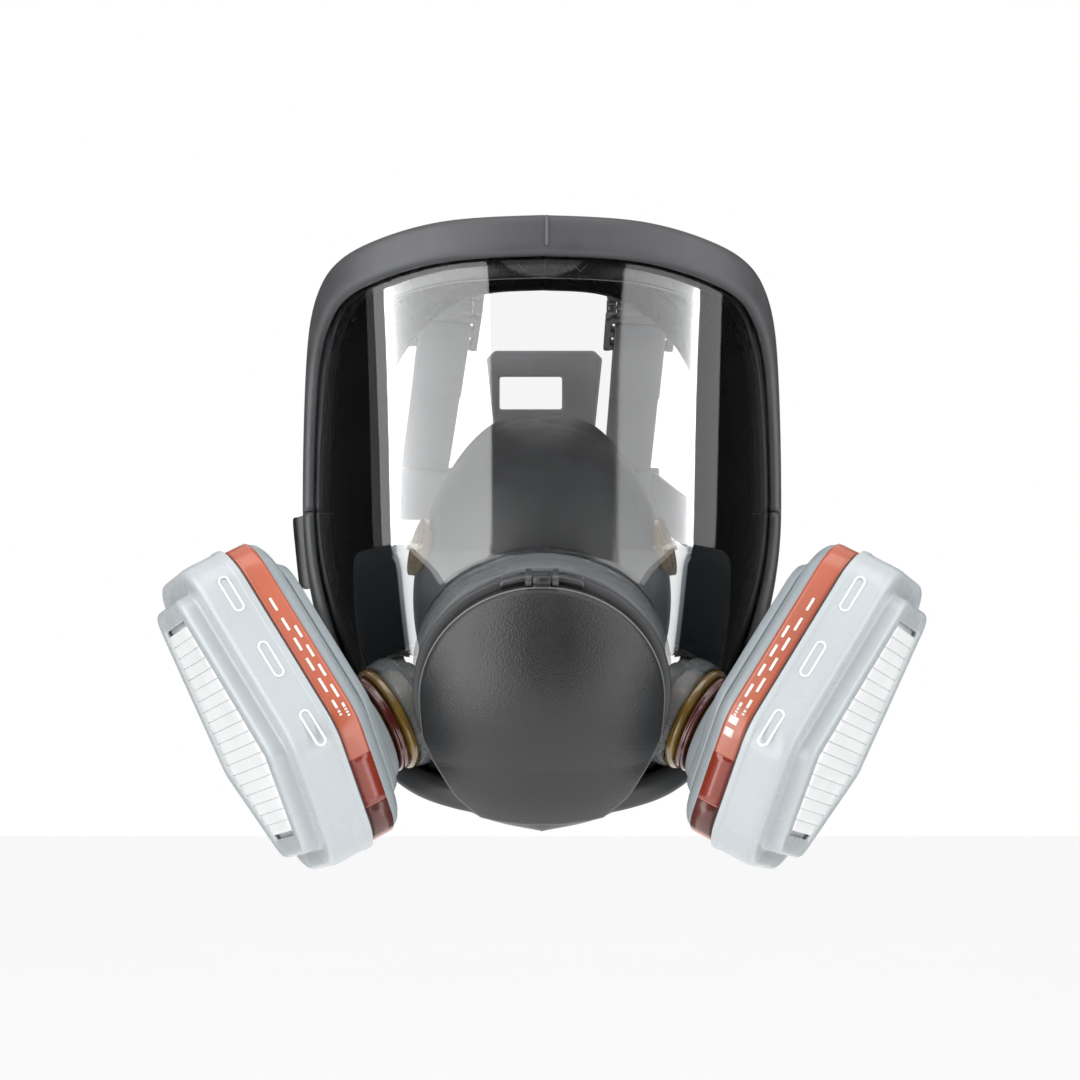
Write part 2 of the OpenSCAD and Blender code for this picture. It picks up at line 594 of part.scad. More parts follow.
// ---------------------------------------------------------------- buckles and harness
buckle_len = 24;
module buckle(c) {
    color([0.12, 0.12, 0.13]) at_corner(c) difference() {
        union() {
            translate([-9.2, 0, 0]) rotate([0, 90, 0]) cylinder(r = 2.8, h = 18.4);
            translate([-9.2, 0, -1.5]) cube([18.4, 5, 3]);
            translate([-13.2, 4, -1.5]) cube([26.4, buckle_len - 4, 3]);
        }
        translate([-10, 0, 0]) rotate([0, 90, 0]) cylinder(r = pin_r + slide_gap, h = 20);
        translate([-10.4, 8.4, -2]) cube([20.8, 3.4, 4]);
        translate([-10.4, 16.4, -2]) cube([20.8, 3.4, 4]);
    }
}
module buckle_pin(c) {
    color([0.7, 0.7, 0.72]) at_corner(c) translate([-tab_w / 2, 0, 0]) rotate([0, 90, 0]) cylinder(r = pin_r, h = tab_w);
}
// Tail of the strap, folded back over the buckle's bar
module strap_tail(c) {
    color([0.32, 0.32, 0.33]) at_corner(c) union() {
        translate([-strap_w / 2, 9.2, -4.4]) cube([strap_w, strap_t, 7.4]);
        translate([-strap_w / 2, 9.2, -4.4]) cube([strap_w, 40, strap_t]);
    }
}
function strap_start(c) = corner_pin(c) + 17.2 * corner_dir(c);
module strap(c) {
    color([0.36, 0.36, 0.37]) at_corner(c) union() {
        translate([-strap_w / 2, 17.4, 2]) cube([strap_w, norm(corner_end(c) - corner_pin(c)) - 17.4, strap_t]);
        translate([-strap_w / 2, 17.4, -1]) cube([strap_w, strap_t, 4]);
    }
}
crown_top = 76;
crown_y = 100;
crown_t = 3;
crown_arms = [[crown_w / 2, crown_top], [crown_w / 2 - 3.5, 42], [crown_w / 2 - 2, 29], [46, 29], [46, 8],
    [-58, 8], [-58, 29], [-crown_w / 2 + 2, 29], [-crown_w / 2 + 3.5, 42], [-crown_w / 2, crown_top]];
module crown_plate() {
    color([0.42, 0.43, 0.44]) translate([0, crown_y, 0]) rotate([90, 0, 0]) translate([0, 0, -crown_t])
    linear_extrude(crown_t) difference() {
        translate([1, 0]) polygon(crown_arms);
        translate([-17, crown_top - 23.5]) square([25, 13]);
        for (x = [1 + crown_w / 2, 1 - crown_w / 2]) translate([x, crown_top]) rotate(45) square(5, center = true);
    }
}

visor();
upper_frame();
lower_frame();
frame_screws();
frame_nuts();
face_seal();
nose_cup();
nose_valve_seat("left");  // nose_valve_seat_left
nose_valve_seat("right");  // nose_valve_seat_right
nose_valve_flap("left");  // nose_valve_flap_left
nose_valve_flap("right");  // nose_valve_flap_right
adapter_body();
adapter_gasket();
adapter_clamp_ring();
speech_diaphragm();
diaphragm_ring();
exhalation_flap();
exhalation_cover();
port("left");  // port_left
port("right");  // port_right
port_gasket("left");  // port_gasket_left
port_gasket("right");  // port_gasket_right
port_nut("left");  // port_nut_left
port_nut("right");  // port_nut_right
inhalation_flap("left");  // inhalation_flap_left
inhalation_flap("right");  // inhalation_flap_right
cartridge_base("left");  // cartridge_base_left
cartridge_base("right");  // cartridge_base_right
cartridge_shell("left");  // cartridge_shell_left
cartridge_shell("right");  // cartridge_shell_right
label_band("left");  // label_band_left
label_band("right");  // label_band_right
carbon_bed("left");  // carbon_bed_left
carbon_bed("right");  // carbon_bed_right
filter_pad("left");  // filter_pad_left
filter_pad("right");  // filter_pad_right
filter_holder("left");  // filter_holder_left
filter_holder("right");  // filter_holder_right
buckle("upper_left");  // buckle_upper_left
buckle("upper_right");  // buckle_upper_right
buckle("lower_left");  // buckle_lower_left
buckle("lower_right");  // buckle_lower_right
buckle_pin("upper_left");  // buckle_pin_upper_left
buckle_pin("upper_right");  // buckle_pin_upper_right
buckle_pin("lower_left");  // buckle_pin_lower_left
buckle_pin("lower_right");  // buckle_pin_lower_right
strap_tail("upper_left");  // strap_tail_upper_left
strap_tail("upper_right");  // strap_tail_upper_right
strap_tail("lower_left");  // strap_tail_lower_left
strap_tail("lower_right");  // strap_tail_lower_right
crown_plate();
strap("upper_left");  // strap_upper_left
strap("upper_right");  // strap_upper_right
strap("lower_left");  // strap_lower_left
strap("lower_right");  // strap_lower_right
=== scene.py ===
import json
import math

import bmesh
import bpy
import numpy as np
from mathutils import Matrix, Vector


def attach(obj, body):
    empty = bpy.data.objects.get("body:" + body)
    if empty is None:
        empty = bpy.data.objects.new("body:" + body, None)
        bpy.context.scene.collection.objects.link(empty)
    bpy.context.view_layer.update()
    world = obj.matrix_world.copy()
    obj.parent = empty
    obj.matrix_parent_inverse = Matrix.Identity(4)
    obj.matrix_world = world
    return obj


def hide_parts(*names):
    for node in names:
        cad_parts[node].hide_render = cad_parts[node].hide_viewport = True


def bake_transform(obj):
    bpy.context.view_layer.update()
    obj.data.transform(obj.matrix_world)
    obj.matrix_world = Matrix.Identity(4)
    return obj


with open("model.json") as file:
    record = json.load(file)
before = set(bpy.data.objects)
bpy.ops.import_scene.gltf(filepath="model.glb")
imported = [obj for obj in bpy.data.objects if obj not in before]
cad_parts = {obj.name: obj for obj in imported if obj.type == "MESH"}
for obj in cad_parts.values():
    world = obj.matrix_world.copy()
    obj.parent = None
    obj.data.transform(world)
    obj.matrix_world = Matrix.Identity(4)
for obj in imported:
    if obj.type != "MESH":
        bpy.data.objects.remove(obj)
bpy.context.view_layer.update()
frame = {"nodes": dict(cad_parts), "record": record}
MM = 0.001
SIDES = ("left", "right")
CORNERS = ("upper_left", "upper_right", "lower_left", "lower_right")

# ------------------------------------------------------------------ camera and lights
VIEW_WIDTH = 0.3834   # width seen at the camera's distance, metres
DISTANCE = 1.0
camera = bpy.data.objects.new("camera", bpy.data.cameras.new("camera"))
bpy.context.scene.collection.objects.link(camera)
camera.location = (0, -0.03 - DISTANCE, 0)
camera.rotation_euler = (math.radians(90), 0, 0)
camera.data.sensor_width = 36
camera.data.lens = 36 * DISTANCE / VIEW_WIDTH
camera.data.shift_x = -2 / 1080
camera.data.clip_start = 0.01
camera.data.clip_end = 50
bpy.context.scene.camera = camera
bpy.context.scene.view_settings.view_transform = "Standard"


def softbox(name, azimuth, elevation, distance, width, height, power, aim=(0, -0.04, 0)):
    """A rectangular light round the object; azimuth 0 is on the camera's side, positive to the right."""
    a, e = math.radians(azimuth), math.radians(elevation)
    at = Vector((math.sin(a) * math.cos(e), -math.cos(a) * math.cos(e), math.sin(e))) * distance + Vector(aim)
    data = bpy.data.lights.new(name, "AREA")
    data.shape, data.size, data.size_y, data.energy = "RECTANGLE", width, height, power
    light = bpy.data.objects.new(name, data)
    bpy.context.scene.collection.objects.link(light)
    light.location = at
    light.rotation_euler = (Vector(aim) - at).to_track_quat("-Z", "Y").to_euler()
    return light


def only(light, diffuse=False, glossy=False):
    """Limits what a light does: the tall boxes give the visor its bands, the fills light the matt surfaces."""
    light.visible_diffuse, light.visible_glossy = diffuse, glossy


only(softbox("key_left", -55, 4, 1.25, 1.45, 2.8, 38), glossy=True)
only(softbox("key_right", 66, 4, 1.25, 1.35, 2.8, 21), glossy=True)
only(softbox("fill_left", -48, 18, 1.6, 1.1, 1.1, 14), diffuse=True)
only(softbox("fill_right", 52, 18, 1.6, 1.1, 1.1, 12), diffuse=True)
only(softbox("top_light", 0, 78, 1.3, 1.1, 0.8, 5), diffuse=True, glossy=True)

world = bpy.data.worlds.new("studio")
bpy.context.scene.world = world
world.use_nodes = True
tree = world.node_tree
sky = tree.nodes["Background"]
sky.inputs["Color"].default_value = (1, 1, 1, 1)
levels = tree.nodes.new("ShaderNodeMapRange")   # white where it is seen, dimmer where it lights
levels.inputs[3].default_value, levels.inputs[4].default_value = 0.68, 1.0
tree.links.new(tree.nodes.new("ShaderNodeLightPath").outputs["Is Camera Ray"], levels.inputs[0])
tree.links.new(levels.outputs[0], sky.inputs["Strength"])


# ------------------------------------------------------------------ materials
def material(name, base, rough, vary=0.08, vary_scale=45, bump=0.0, bump_scale=1400, rough_vary=0.08, edge_highlight=0.0,
             edge_highlight_color=None, **uniform):
    """A procedural finish: mottled colour and roughness, fine grain, and a painted highlight on convex edges, a
    lighter colour where pointiness is high, when the edge amount is above 0.
    """
    m = bpy.data.materials.new(name)
    m.use_nodes = True
    nodes, links = m.node_tree.nodes, m.node_tree.links
    shader = nodes["Principled BSDF"]
    for key, value in uniform.items():
        shader.inputs[key.replace("_", " ")].default_value = value
    where = nodes.new("ShaderNodeTexCoord").outputs["Object"]

    def noise(scale, detail):
        n = nodes.new("ShaderNodeTexNoise")
        n.inputs["Scale"].default_value = scale
        n.inputs["Detail"].default_value = detail
        links.new(where, n.inputs["Vector"])
        return n.outputs["Fac"]

    def mix(fac, a, b):
        n = nodes.new("ShaderNodeMix")
        n.data_type = "RGBA"
        links.new(fac, n.inputs[0])
        for socket, value in ((6, a), (7, b)):
            if hasattr(value, "node"):
                links.new(value, n.inputs[socket])
            else:
                n.inputs[socket].default_value = (*value, 1)
        return n.outputs[2]

    mottle = noise(vary_scale, 5)
    color = mix(mottle, [c * (1 - vary * 1.6) for c in base], [min(1, c * (1 + vary * 1.6)) for c in base])
    # painted highlight: convex edges, where pointiness is high, are mixed toward a lighter colour
    if edge_highlight:
        edge = nodes.new("ShaderNodeMapRange")
        edge.inputs[1].default_value, edge.inputs[2].default_value = 0.52, 0.62
        edge.inputs[4].default_value = edge_highlight
        links.new(nodes.new("ShaderNodeNewGeometry").outputs["Pointiness"], edge.inputs[0])
        color = mix(edge.outputs[0], color, edge_highlight_color or [min(1, c * 2.2 + 0.04) for c in base])
    links.new(color, shader.inputs["Base Color"])
    spread = nodes.new("ShaderNodeMapRange")
    spread.inputs[1].default_value, spread.inputs[2].default_value = 0.25, 0.75
    spread.inputs[3].default_value = max(0.02, rough - rough_vary)
    spread.inputs[4].default_value = min(1, rough + rough_vary)
    links.new(noise(vary_scale * 3.1, 4), spread.inputs[0])
    links.new(spread.outputs[0], shader.inputs["Roughness"])
    if bump:
        b = nodes.new("ShaderNodeBump")
        b.inputs["Strength"].default_value = bump
        b.inputs["Distance"].default_value = 0.00025
        links.new(noise(bump_scale, 3), b.inputs["Height"])
        links.new(b.outputs["Normal"], shader.inputs["Normal"])
    return m


def clear(name, tint, rough, strength):
    """Clear sheet plastic: a mirror whose cover follows Fresnel, so what is behind shows straight through."""
    m = bpy.data.materials.new(name)
    m.use_nodes = True
    nodes, links = m.node_tree.nodes, m.node_tree.links
    shader = nodes["Principled BSDF"]
    shader.inputs["Metallic"].default_value = 1
    shader.inputs["Base Color"].default_value = (*tint, 1)
    spots = nodes.new("ShaderNodeTexNoise")
    spots.inputs["Scale"].default_value = 26
    links.new(nodes.new("ShaderNodeTexCoord").outputs["Object"], spots.inputs["Vector"])
    blur = nodes.new("ShaderNodeMapRange")
    blur.inputs[3].default_value, blur.inputs[4].default_value = rough * 0.5, rough * 1.5
    links.new(spots.outputs["Fac"], blur.inputs[0])
    links.new(blur.outputs[0], shader.inputs["Roughness"])
    fresnel = nodes.new("ShaderNodeFresnel")
    fresnel.inputs["IOR"].default_value = 1.5
    gain = nodes.new("ShaderNodeMath")
    gain.operation = "MULTIPLY_ADD"
    gain.use_clamp = True
    gain.inputs[1].default_value, gain.inputs[2].default_value = strength, 0
    links.new(fresnel.outputs[0], gain.inputs[0])
    links.new(gain.outputs[0], shader.inputs["Alpha"])
    return m


M = {
    "clear_visor": clear("visor_clear", (0.96, 0.97, 0.98), 0.02, 1.1),
    "visor_moulded": material("visor_moulded", (0.3, 0.315, 0.325), 0.1, vary=0.1, bump=0.06, bump_scale=300,
                              Alpha=0.34, IOR=1.55),
    # the edge amounts in these finishes paint highlights on convex edges
    "frame_grey": material("frame_grey", (0.05, 0.051, 0.054), 0.46, vary=0.1, bump=0.16, bump_scale=2400, edge_highlight=0.3),
    "frame_dark": material("frame_dark", (0.036, 0.037, 0.039), 0.4, vary=0.1, bump=0.16, bump_scale=2400, edge_highlight=0.3),
    "seal_rubber": material("seal_rubber", (0.012, 0.0125, 0.0135), 0.26, vary=0.15, bump=0.05, bump_scale=900,
                            edge_highlight=0.55, edge_highlight_color=(0.16, 0.165, 0.17)),
    "cup_rubber": material("cup_rubber", (0.046, 0.047, 0.049), 0.46, vary=0.1, bump=0.12, bump_scale=1600, edge_highlight=0.35),
    "amber_plastic": material("amber_plastic", (0.2, 0.115, 0.016), 0.1, vary=0.5, vary_scale=140, Coat_Weight=1.0,
                              Coat_Roughness=0.04),
    "red_rubber": material("red_rubber", (0.085, 0.008, 0.007), 0.1, vary=0.3, vary_scale=120, Coat_Weight=1.0,
                           Coat_Roughness=0.05),
    "valve_rubber": material("valve_rubber", (0.7, 0.67, 0.56), 0.5, vary=0.06, bump=0.1),
    "adapter_black": material("adapter_black", (0.034, 0.035, 0.037), 0.34, vary=0.12, bump=0.12, bump_scale=2200,
                              edge_highlight=0.4),
    "diaphragm_film": material("diaphragm_film", (0.6, 0.55, 0.38), 0.22, vary=0.1, bump=0.1, bump_scale=400),
    "cover_black": material("cover_black", (0.015, 0.0155, 0.0165), 0.36, vary=0.1, bump=0.7, bump_scale=1500,
                            rough_vary=0.05, Specular_IOR_Level=0.5),
    "cartridge_grey": material("cartridge_grey", (0.27, 0.305, 0.325), 0.36, vary=0.08, bump=0.08, bump_scale=1800,
                               edge_highlight=0.45, edge_highlight_color=(0.6, 0.63, 0.65)),
    "label_orange": material("label_orange", (0.44, 0.105, 0.055), 0.3, vary=0.32, vary_scale=14, Coat_Weight=0.4,
                             Coat_Roughness=0.12),
    "label_print": material("label_print", (0.8, 0.78, 0.72), 0.4, vary=0.1, vary_scale=400),
    # painted shade for the label band's lower end: dark red, then brown
    "label_shade_dark": material("label_shade_dark", (0.26, 0.03, 0.014), 0.26, vary=0.3, vary_scale=26, Coat_Weight=0.5),
    "label_shade_brown": material("label_shade_brown", (0.1, 0.024, 0.018), 0.34, vary=0.3, vary_scale=26, Coat_Weight=0.3),
    # pale grey standing for painted highlight on thin ridges of black parts: the cover's rim bead and the seal's marks
    "ridge_highlight": material("ridge_highlight", (0.13, 0.132, 0.136), 0.3, vary=0.1, bump=0.08),
    # black standing for the painted shade inside the adapter's two pin holes
    "hole_shade": material("hole_shade", (0.004, 0.004, 0.004), 0.8, vary=0.3),
    "carbon": material("carbon", (0.02, 0.02, 0.02), 0.7, vary=0.5, vary_scale=900, bump=1.0, bump_scale=1200),
    "felt": material("felt", (0.86, 0.86, 0.85), 0.95, vary=0.05, vary_scale=500, bump=0.9, bump_scale=2600,
                     Sheen_Weight=0.4),
    "holder_milky": material("holder_milky", (0.56, 0.6, 0.62), 0.26, vary=0.05, vary_scale=22, bump=0.06,
                             bump_scale=700, Alpha=0.78, Coat_Weight=0.25),
    # painted light: a lighter, more opaque copy of the holder's milky plastic, for its front grille and clips
    "holder_front": material("holder_front", (0.8, 0.812, 0.818), 0.42, vary=0.03, vary_scale=30, bump=0.1,
                             bump_scale=900, Alpha=0.93),
    "buckle_black": material("buckle_black", (0.022, 0.022, 0.024), 0.38, vary=0.1, bump=0.14, edge_highlight=0.35),
    "webbing": material("webbing", (0.07, 0.071, 0.075), 0.8, vary=0.22, vary_scale=700, bump=0.6, bump_scale=3600,
                        Sheen_Weight=0.35),
    "crown_rubber": material("crown_rubber", (0.1, 0.101, 0.104), 0.5, vary=0.2, vary_scale=60, bump=0.25,
                             bump_scale=800, edge_highlight=0.3),
    "steel": material("steel", (0.56, 0.56, 0.58), 0.3, vary=0.08, bump=0.1, bump_scale=3000, Metallic=1.0),
}
for name, node in frame["nodes"].items():
    slot = next(s["material_slot"] for s in frame["record"]["subparts"] if s["node"] == name)
    for i in range(max(1, len(node.material_slots))):
        if node.material_slots:
            node.material_slots[i].material = M[slot]
        else:
            node.data.materials.append(M[slot])


# ------------------------------------------------------------------ mesh helpers
def build(name, verts, faces, body, mat, slot=None, nodes=(), flat=False):
    """A piece from vertices in millimetres, riding on a body and standing for CAD nodes."""
    data = bpy.data.meshes.new(name)
    data.from_pydata([tuple(c * MM for c in v) for v in verts], [], [tuple(f) for f in faces])
    bm = bmesh.new()
    bm.from_mesh(data)
    bmesh.ops.recalc_face_normals(bm, faces=bm.faces)
    for f in bm.faces:
        f.smooth = not flat
    bm.to_mesh(data)
    bm.free()
    piece = bpy.data.objects.new(name, data)
    bpy.context.scene.collection.objects.link(piece)
    data.materials.append(M[mat])
    if body:
        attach(piece, body)
    if nodes:
        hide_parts(*nodes)
    return piece


def sheet_faces(n, m, closed, loop, start=0):
    """Faces between n rings of m points; closed joins a ring's ends, loop joins the last ring to the first."""
    faces = []
    for i in range(n if loop else n - 1):
        for j in range(m if closed else m - 1):
            a, b = start + i * m + j, start + i * m + (j + 1) % m
            k = (i + 1) % n
            faces.append((a, b, start + k * m + (j + 1) % m, start + k * m + j))
    return faces


class Shape:
    """Collects lofts into one mesh."""

    def __init__(self):
        self.verts, self.faces = [], []

    def loft(self, rings, loop=False, closed=True, caps=True):
        start, n, m = len(self.verts), len(rings), len(rings[0])
        self.verts += [tuple(p) for ring in rings for p in ring]
        self.faces += sheet_faces(n, m, closed, loop, start)
        if caps and not loop and closed:
            self.faces.append(tuple(start + j for j in range(m - 1, -1, -1)))
            self.faces.append(tuple(start + (n - 1) * m + j for j in range(m)))
        return self

    def make(self, name, body, mat, **more):
        return build(name, self.verts, self.faces, body, mat, **more)


def around(count):
    """Angles evenly spread over a full turn."""
    return np.linspace(0, 2 * math.pi, count, endpoint=False)


def chaikin(points, times=2, closed=True, keep=0.25):
    """Rounds the corners of a line of points."""
    points = [np.array(p, float) for p in points]
    for _ in range(times):
        out = []
        last = len(points) if closed else len(points) - 1
        if not closed:
            out.append(points[0])
        for k in range(last):
            a, b = points[k], points[(k + 1) % len(points)]
            out += [a + (b - a) * keep, b - (b - a) * keep]
        if not closed:
            out.append(points[-1])
        points = out
    return points


def unit(v):
    v = np.array(v, float)
    return v / np.linalg.norm(v)


def spline(points, u):
    """Catmull-Rom point on a line of points, u from 0 to 1."""
    points = np.array(points, float)
    n = len(points) - 1
    x = min(max(u, 0), 1) * n
    i = min(int(x), n - 1)
    f = x - i
    a, b, c, d = points[max(i - 1, 0)], points[i], points[i + 1], points[min(i + 2, n)]
    return (2 * b + (c - a) * f + (2 * a - 5 * b + 4 * c - d) * f * f + (3 * b - a - 3 * c + d) * f ** 3) / 2


# ------------------------------------------------------------------ the visor's surface, as in the frame
HALF_W, DEPTH, SIDE_Y, MID_Z, HOLE_Z = 81, 80, -20, 12, -45.4
VISOR_T, EDGE, BAND_TOP, BAND_SIDE, BAND_OUT = 2.4, 5, 13.5, 9.5, 4.5
RIM = [[0, 96], [25, 94.5], [47, 89], [60, 84], [68, 78], [76, 68.5], [81, 57], [84, 35], [85, 10], [82, -10],
       [78, -25], [75, -38], [73, -48], [71, -61], [62, -71], [52, -77.5], [40, -81.5], [20, -85], [0, -86]]
RIM_N = 72           # stations round the visor's edge
STEPS = 288          # rings lofted round it
ADAPTER_HOLE = 41.5  # radius where the sheet meets the adapter's collar
PORT_HOLE = 17.2     # radius of the sheet's hole in a port's flange
PORT_REACH = 45      # how far along a port's axis the sheet can be part of it


def visor_w(z):
    return HALF_W - 5 * ((z - MID_Z) / 84) ** 2 if z > MID_Z else HALF_W - 33 * ((MID_Z - z) / 102) ** 1.9


def visor_at(a, z):
    a = math.radians(a)
    front = SIDE_Y - DEPTH + (16 * ((z + 5) / 101) ** 1.6 if z > -5 else 32 * ((-5 - z) / 81) ** 1.15)
    side = SIDE_Y - (10 * ((z - 10) / 86) ** 2 if z > 10 else 25 * ((10 - z) / 100) ** 1.5)
    return np.array([visor_w(z) * math.sin(a), side - (side - front) * math.cos(a), z])


def visor_normal(a, z, e=0.5):
    return unit(np.cross(visor_at(a + e, z) - visor_at(a - e, z), visor_at(a, z + e) - visor_at(a, z - e)))


def folded(i):
    """Station on the right-hand half that mirrors station i."""
    k = i % RIM_N
    return k if k <= RIM_N / 2 else RIM_N - k


def rim_q(i):
    q = spline(RIM, folded(i) / (RIM_N / 2))
    return np.array([-q[0], q[1]]) if i % RIM_N > RIM_N / 2 else q


_rim = {}


def rim_frame(i):
    """Point of the visor's edge, its width direction and its outward direction."""
    key = round(i % RIM_N, 5)
    if key not in _rim:
        q = rim_q(i)
        n = visor_normal(*q)
        t = unit(visor_at(*rim_q(i + 1)) - visor_at(*rim_q(i - 1)))
        _rim[key] = visor_at(*q), unit(np.cross(n, t)), n
    return _rim[key]


def rim_point(i, w, n):
    p, wide, out = rim_frame(i)
    return p + w * wide + n * out


# ------------------------------------------------------------------ local frames
TILT = math.radians(24)
ADAPTER = np.array([0, -85, HOLE_Z])


def adapter_pt(x, y, z):
    """Point in the centre adapter's frame: x right, y up its face, z out of it."""
    return ADAPTER + np.array([x, -y * math.sin(TILT) - z * math.cos(TILT), y * math.cos(TILT) - z * math.sin(TILT)])


PORT = np.array([62, -74, -66])
FORWARD, DOWN = math.radians(20), math.radians(27.6)


def port_axes(side):
    """A port's place, its two directions across, and its outward direction."""
    s = -1 if side == "left" else 1
    out = np.array([s * math.cos(FORWARD) * math.cos(DOWN), -math.sin(FORWARD), -math.cos(FORWARD) * math.sin(DOWN)])
    long = np.array([s * math.sin(DOWN), 0, math.cos(DOWN)])
    return PORT * (s, 1, 1), np.cross(long, out), long, out


def port_pt(side, x, y, z):
    at, a, b, c = port_axes(side)
    return at + x * a + y * b + z * c


def lathe_rings(place, profile, count=96, centre=(0, 0)):
    """Turns a closed profile of (radius, z) into rings, one for each angle."""
    return [[place(centre[0] + r * math.cos(t), centre[1] + r * math.sin(t), z) for r, z in profile]
            for t in around(count)]


# ------------------------------------------------------------------ visor
def hole_reach(i, radius):
    """How far toward the adapter's axis the visor's sheet runs at a station before it meets a radius."""
    q = rim_q(i)
    low, high = 0.1, 0.95
    for _ in range(22):
        s = (low + high) / 2
        rel = visor_at(q[0] * s, HOLE_Z + (q[1] - HOLE_Z) * s) - ADAPTER
        along = rel @ np.array([0, -math.cos(TILT), -math.sin(TILT)])
        low, high = (s, high) if math.sqrt(max(rel @ rel - along ** 2, 0)) < radius else (low, s)
    return low


def visor_section(i):
    q = rim_q(i)
    reach = hole_reach(i, ADAPTER_HOLE)
    spans = [1 - (1 - reach) * t for t in np.linspace(0, 1, 26)]
    inside = [(q[0] * s, HOLE_Z + (q[1] - HOLE_Z) * s) for s in spans]
    outer = [rim_point(i, EDGE, 0)] + [visor_at(*p) for p in inside]
    inner = [rim_point(i, EDGE, -VISOR_T)] + [visor_at(*p) - VISOR_T * visor_normal(*p) for p in inside]
    return outer + inner[::-1]


sheet = Shape().loft([visor_section(RIM_N * k / STEPS) for k in range(STEPS)], loop=True)


def in_port(face):
    """True where a face of the sheet lies inside a port's flange, where the sheet has its hole."""
    middle = np.mean([sheet.verts[k] for k in face], axis=0)
    for side in SIDES:
        place, _, _, out = port_axes(side)
        rel = middle - place
        along = rel @ out
        if abs(along) < PORT_REACH and math.sqrt(max(rel @ rel - along ** 2, 0)) < PORT_HOLE:
            return True
    return False


sheet.faces = [f for f in sheet.faces if not in_port(f)]
sheet.make("visor_sheet", "facepiece", "clear_visor", nodes=["visor"])
collar = chaikin([(34.2, -11.8), (34.2, 6.8), (36, 7.6), (41.2, 7.6), (43.4, 5.6), (43.6, -11.8)], 2)
moulded = Shape().loft(lathe_rings(adapter_pt, [(r, z) for r, z in collar], 144), loop=True)
for side in SIDES:
    boss = chaikin([(14.8, -21), (14.8, -13.1), (18.6, -13.1), (19.5, -14.2), (19.5, -21)], 2)
    moulded.loft(lathe_rings(lambda x, y, z, s=side: port_pt(s, x, y, z), boss, 96), loop=True)
moulded.make("visor_collar", "facepiece", "visor_moulded", slot="clear_visor")


# ------------------------------------------------------------------ frame
def frame_width(i):
    return BAND_SIDE + (BAND_TOP - BAND_SIDE) * max(0, math.cos(math.radians(folded(i) * 180 / RIM_N * 1.6))) ** 2


def frame_ring(i):
    w, n = frame_width(i), BAND_OUT
    profile = [[-1, 0.3], [-1.2, n - 2.2], [-0.2, n - 0.8], [1.6, n], [w - 2.8, n], [w - 0.8, n - 1.1], [w, n - 3.2],
               [w, -6.4], [w - 1.4, -8.4], [1.6, -8.4], [1.6, -6.7], [5.4, -6.7], [5.4, 0.3]]
    return [rim_point(i, a, b) for a, b in chaikin(profile, 2, keep=0.22)]


SPLIT = 16                  # station where the two halves of the frame meet
LUG = (78, -12.4, 10, 4.3)  # x, y and height of the joint at the lugs, and their radius


def frame_half(name, first, last, count, low, high, mat):
    shape = Shape().loft([frame_ring(i) for i in np.linspace(first, last, count)])
    for s in (-1, 1):
        edge = [(0.9, 0), (1, 0.12), (1, 0.88), (0.9, 1)]
        shape.loft([[(s * LUG[0] + LUG[3] * k * math.cos(t), LUG[1] + LUG[3] * k * math.sin(t), low + (high - low) * f)
                     for t in around(48)] for k, f in edge])
        shape.loft([[(s * LUG[0] + x * 3.2 * k, LUG[1] - 8 * (y > 0) + 0.1, low + (high - low) * f)
                     for x, y in ((-1, 0), (1, 0), (1, 1), (-1, 1))]
                    for k, f in ((0.92, 0.02), (1, 0.12), (1, 0.88), (0.92, 0.98))])
    return shape.make(name, "facepiece", mat, nodes=[name.replace("_shell", "")])


frame_half("upper_frame_shell", -SPLIT + 0.02, SPLIT - 0.02, 161, LUG[2] + 0.9, LUG[2] + 6.4, "frame_grey")
frame_half("lower_frame_shell", SPLIT + 0.02, RIM_N - SPLIT - 0.02, 201, LUG[2] - 6.4, LUG[2] - 0.9, "frame_dark")

ridge = Shape()
ridge.loft([[rim_point(0.16 + u * 0.055 * k, w, n) for u, n in ((-1, 4.2), (-0.7, 5.0), (0.7, 5.0), (1, 4.2))]
            for w, k in ((1.4, 0.6), (2.2, 1), (11, 1), (12.2, 0.6))])
ridge.make("upper_frame_ridge", "facepiece", "frame_grey")

# ------------------------------------------------------------------ face seal
SEAL_REAR = [[0, -26, 98], [28, -22, 95], [52, -10, 82], [66, -1, 58], [70, 0, 25], [69, 0, -5], [64, -1, -38],
             [51, -8, -72], [27, -24, -96], [0, -34, -103]]
SEAL_OPEN = [[0, -36, 88], [24, -31, 86], [44, -18, 74], [56, -8, 54], [59.5, -4, 25], [58, -4, -2],
             [53, -6, -32], [42, -14, -62], [22, -30, -84], [0, -42, -90]]


def ring_at(points, i):
    p = spline(points, folded(i) / (RIM_N / 2))
    return p * (-1, 1, 1) if i % RIM_N > RIM_N / 2 else p


def seal_ring(i):
    rear, open_ = ring_at(SEAL_REAR, i), ring_at(SEAL_OPEN, i)
    inward = unit([open_[0] - rear[0], 0, open_[2] - rear[2]])
    y = np.array([0, 1.0, 0])
    wall = rim_point(i, 0.9, -9.4)
    half = (wall + rear) / 2 - 2.4 * inward
    middle = rear + (open_ - rear) * 0.55
    points = [rim_point(i, 5, -2.9), rim_point(i, 5, -6.3), rim_point(i, 0.9, -6.3), wall, half, rear - 0.8 * inward,
              rear + 1.2 * inward + 0.9 * y, middle + 1.2 * y, open_, open_ - 2 * y, middle - 1.4 * y,
              rear + 2.4 * inward - 2.2 * y, half + 2.6 * inward, rim_point(i, -6.5, -6.4), rim_point(i, -6.9, -3.6),
              rim_point(i, -6, -2.8)]
    return chaikin(points, 2, keep=0.24)


seal = Shape().loft([seal_ring(RIM_N * k / STEPS) for k in range(STEPS)], loop=True)
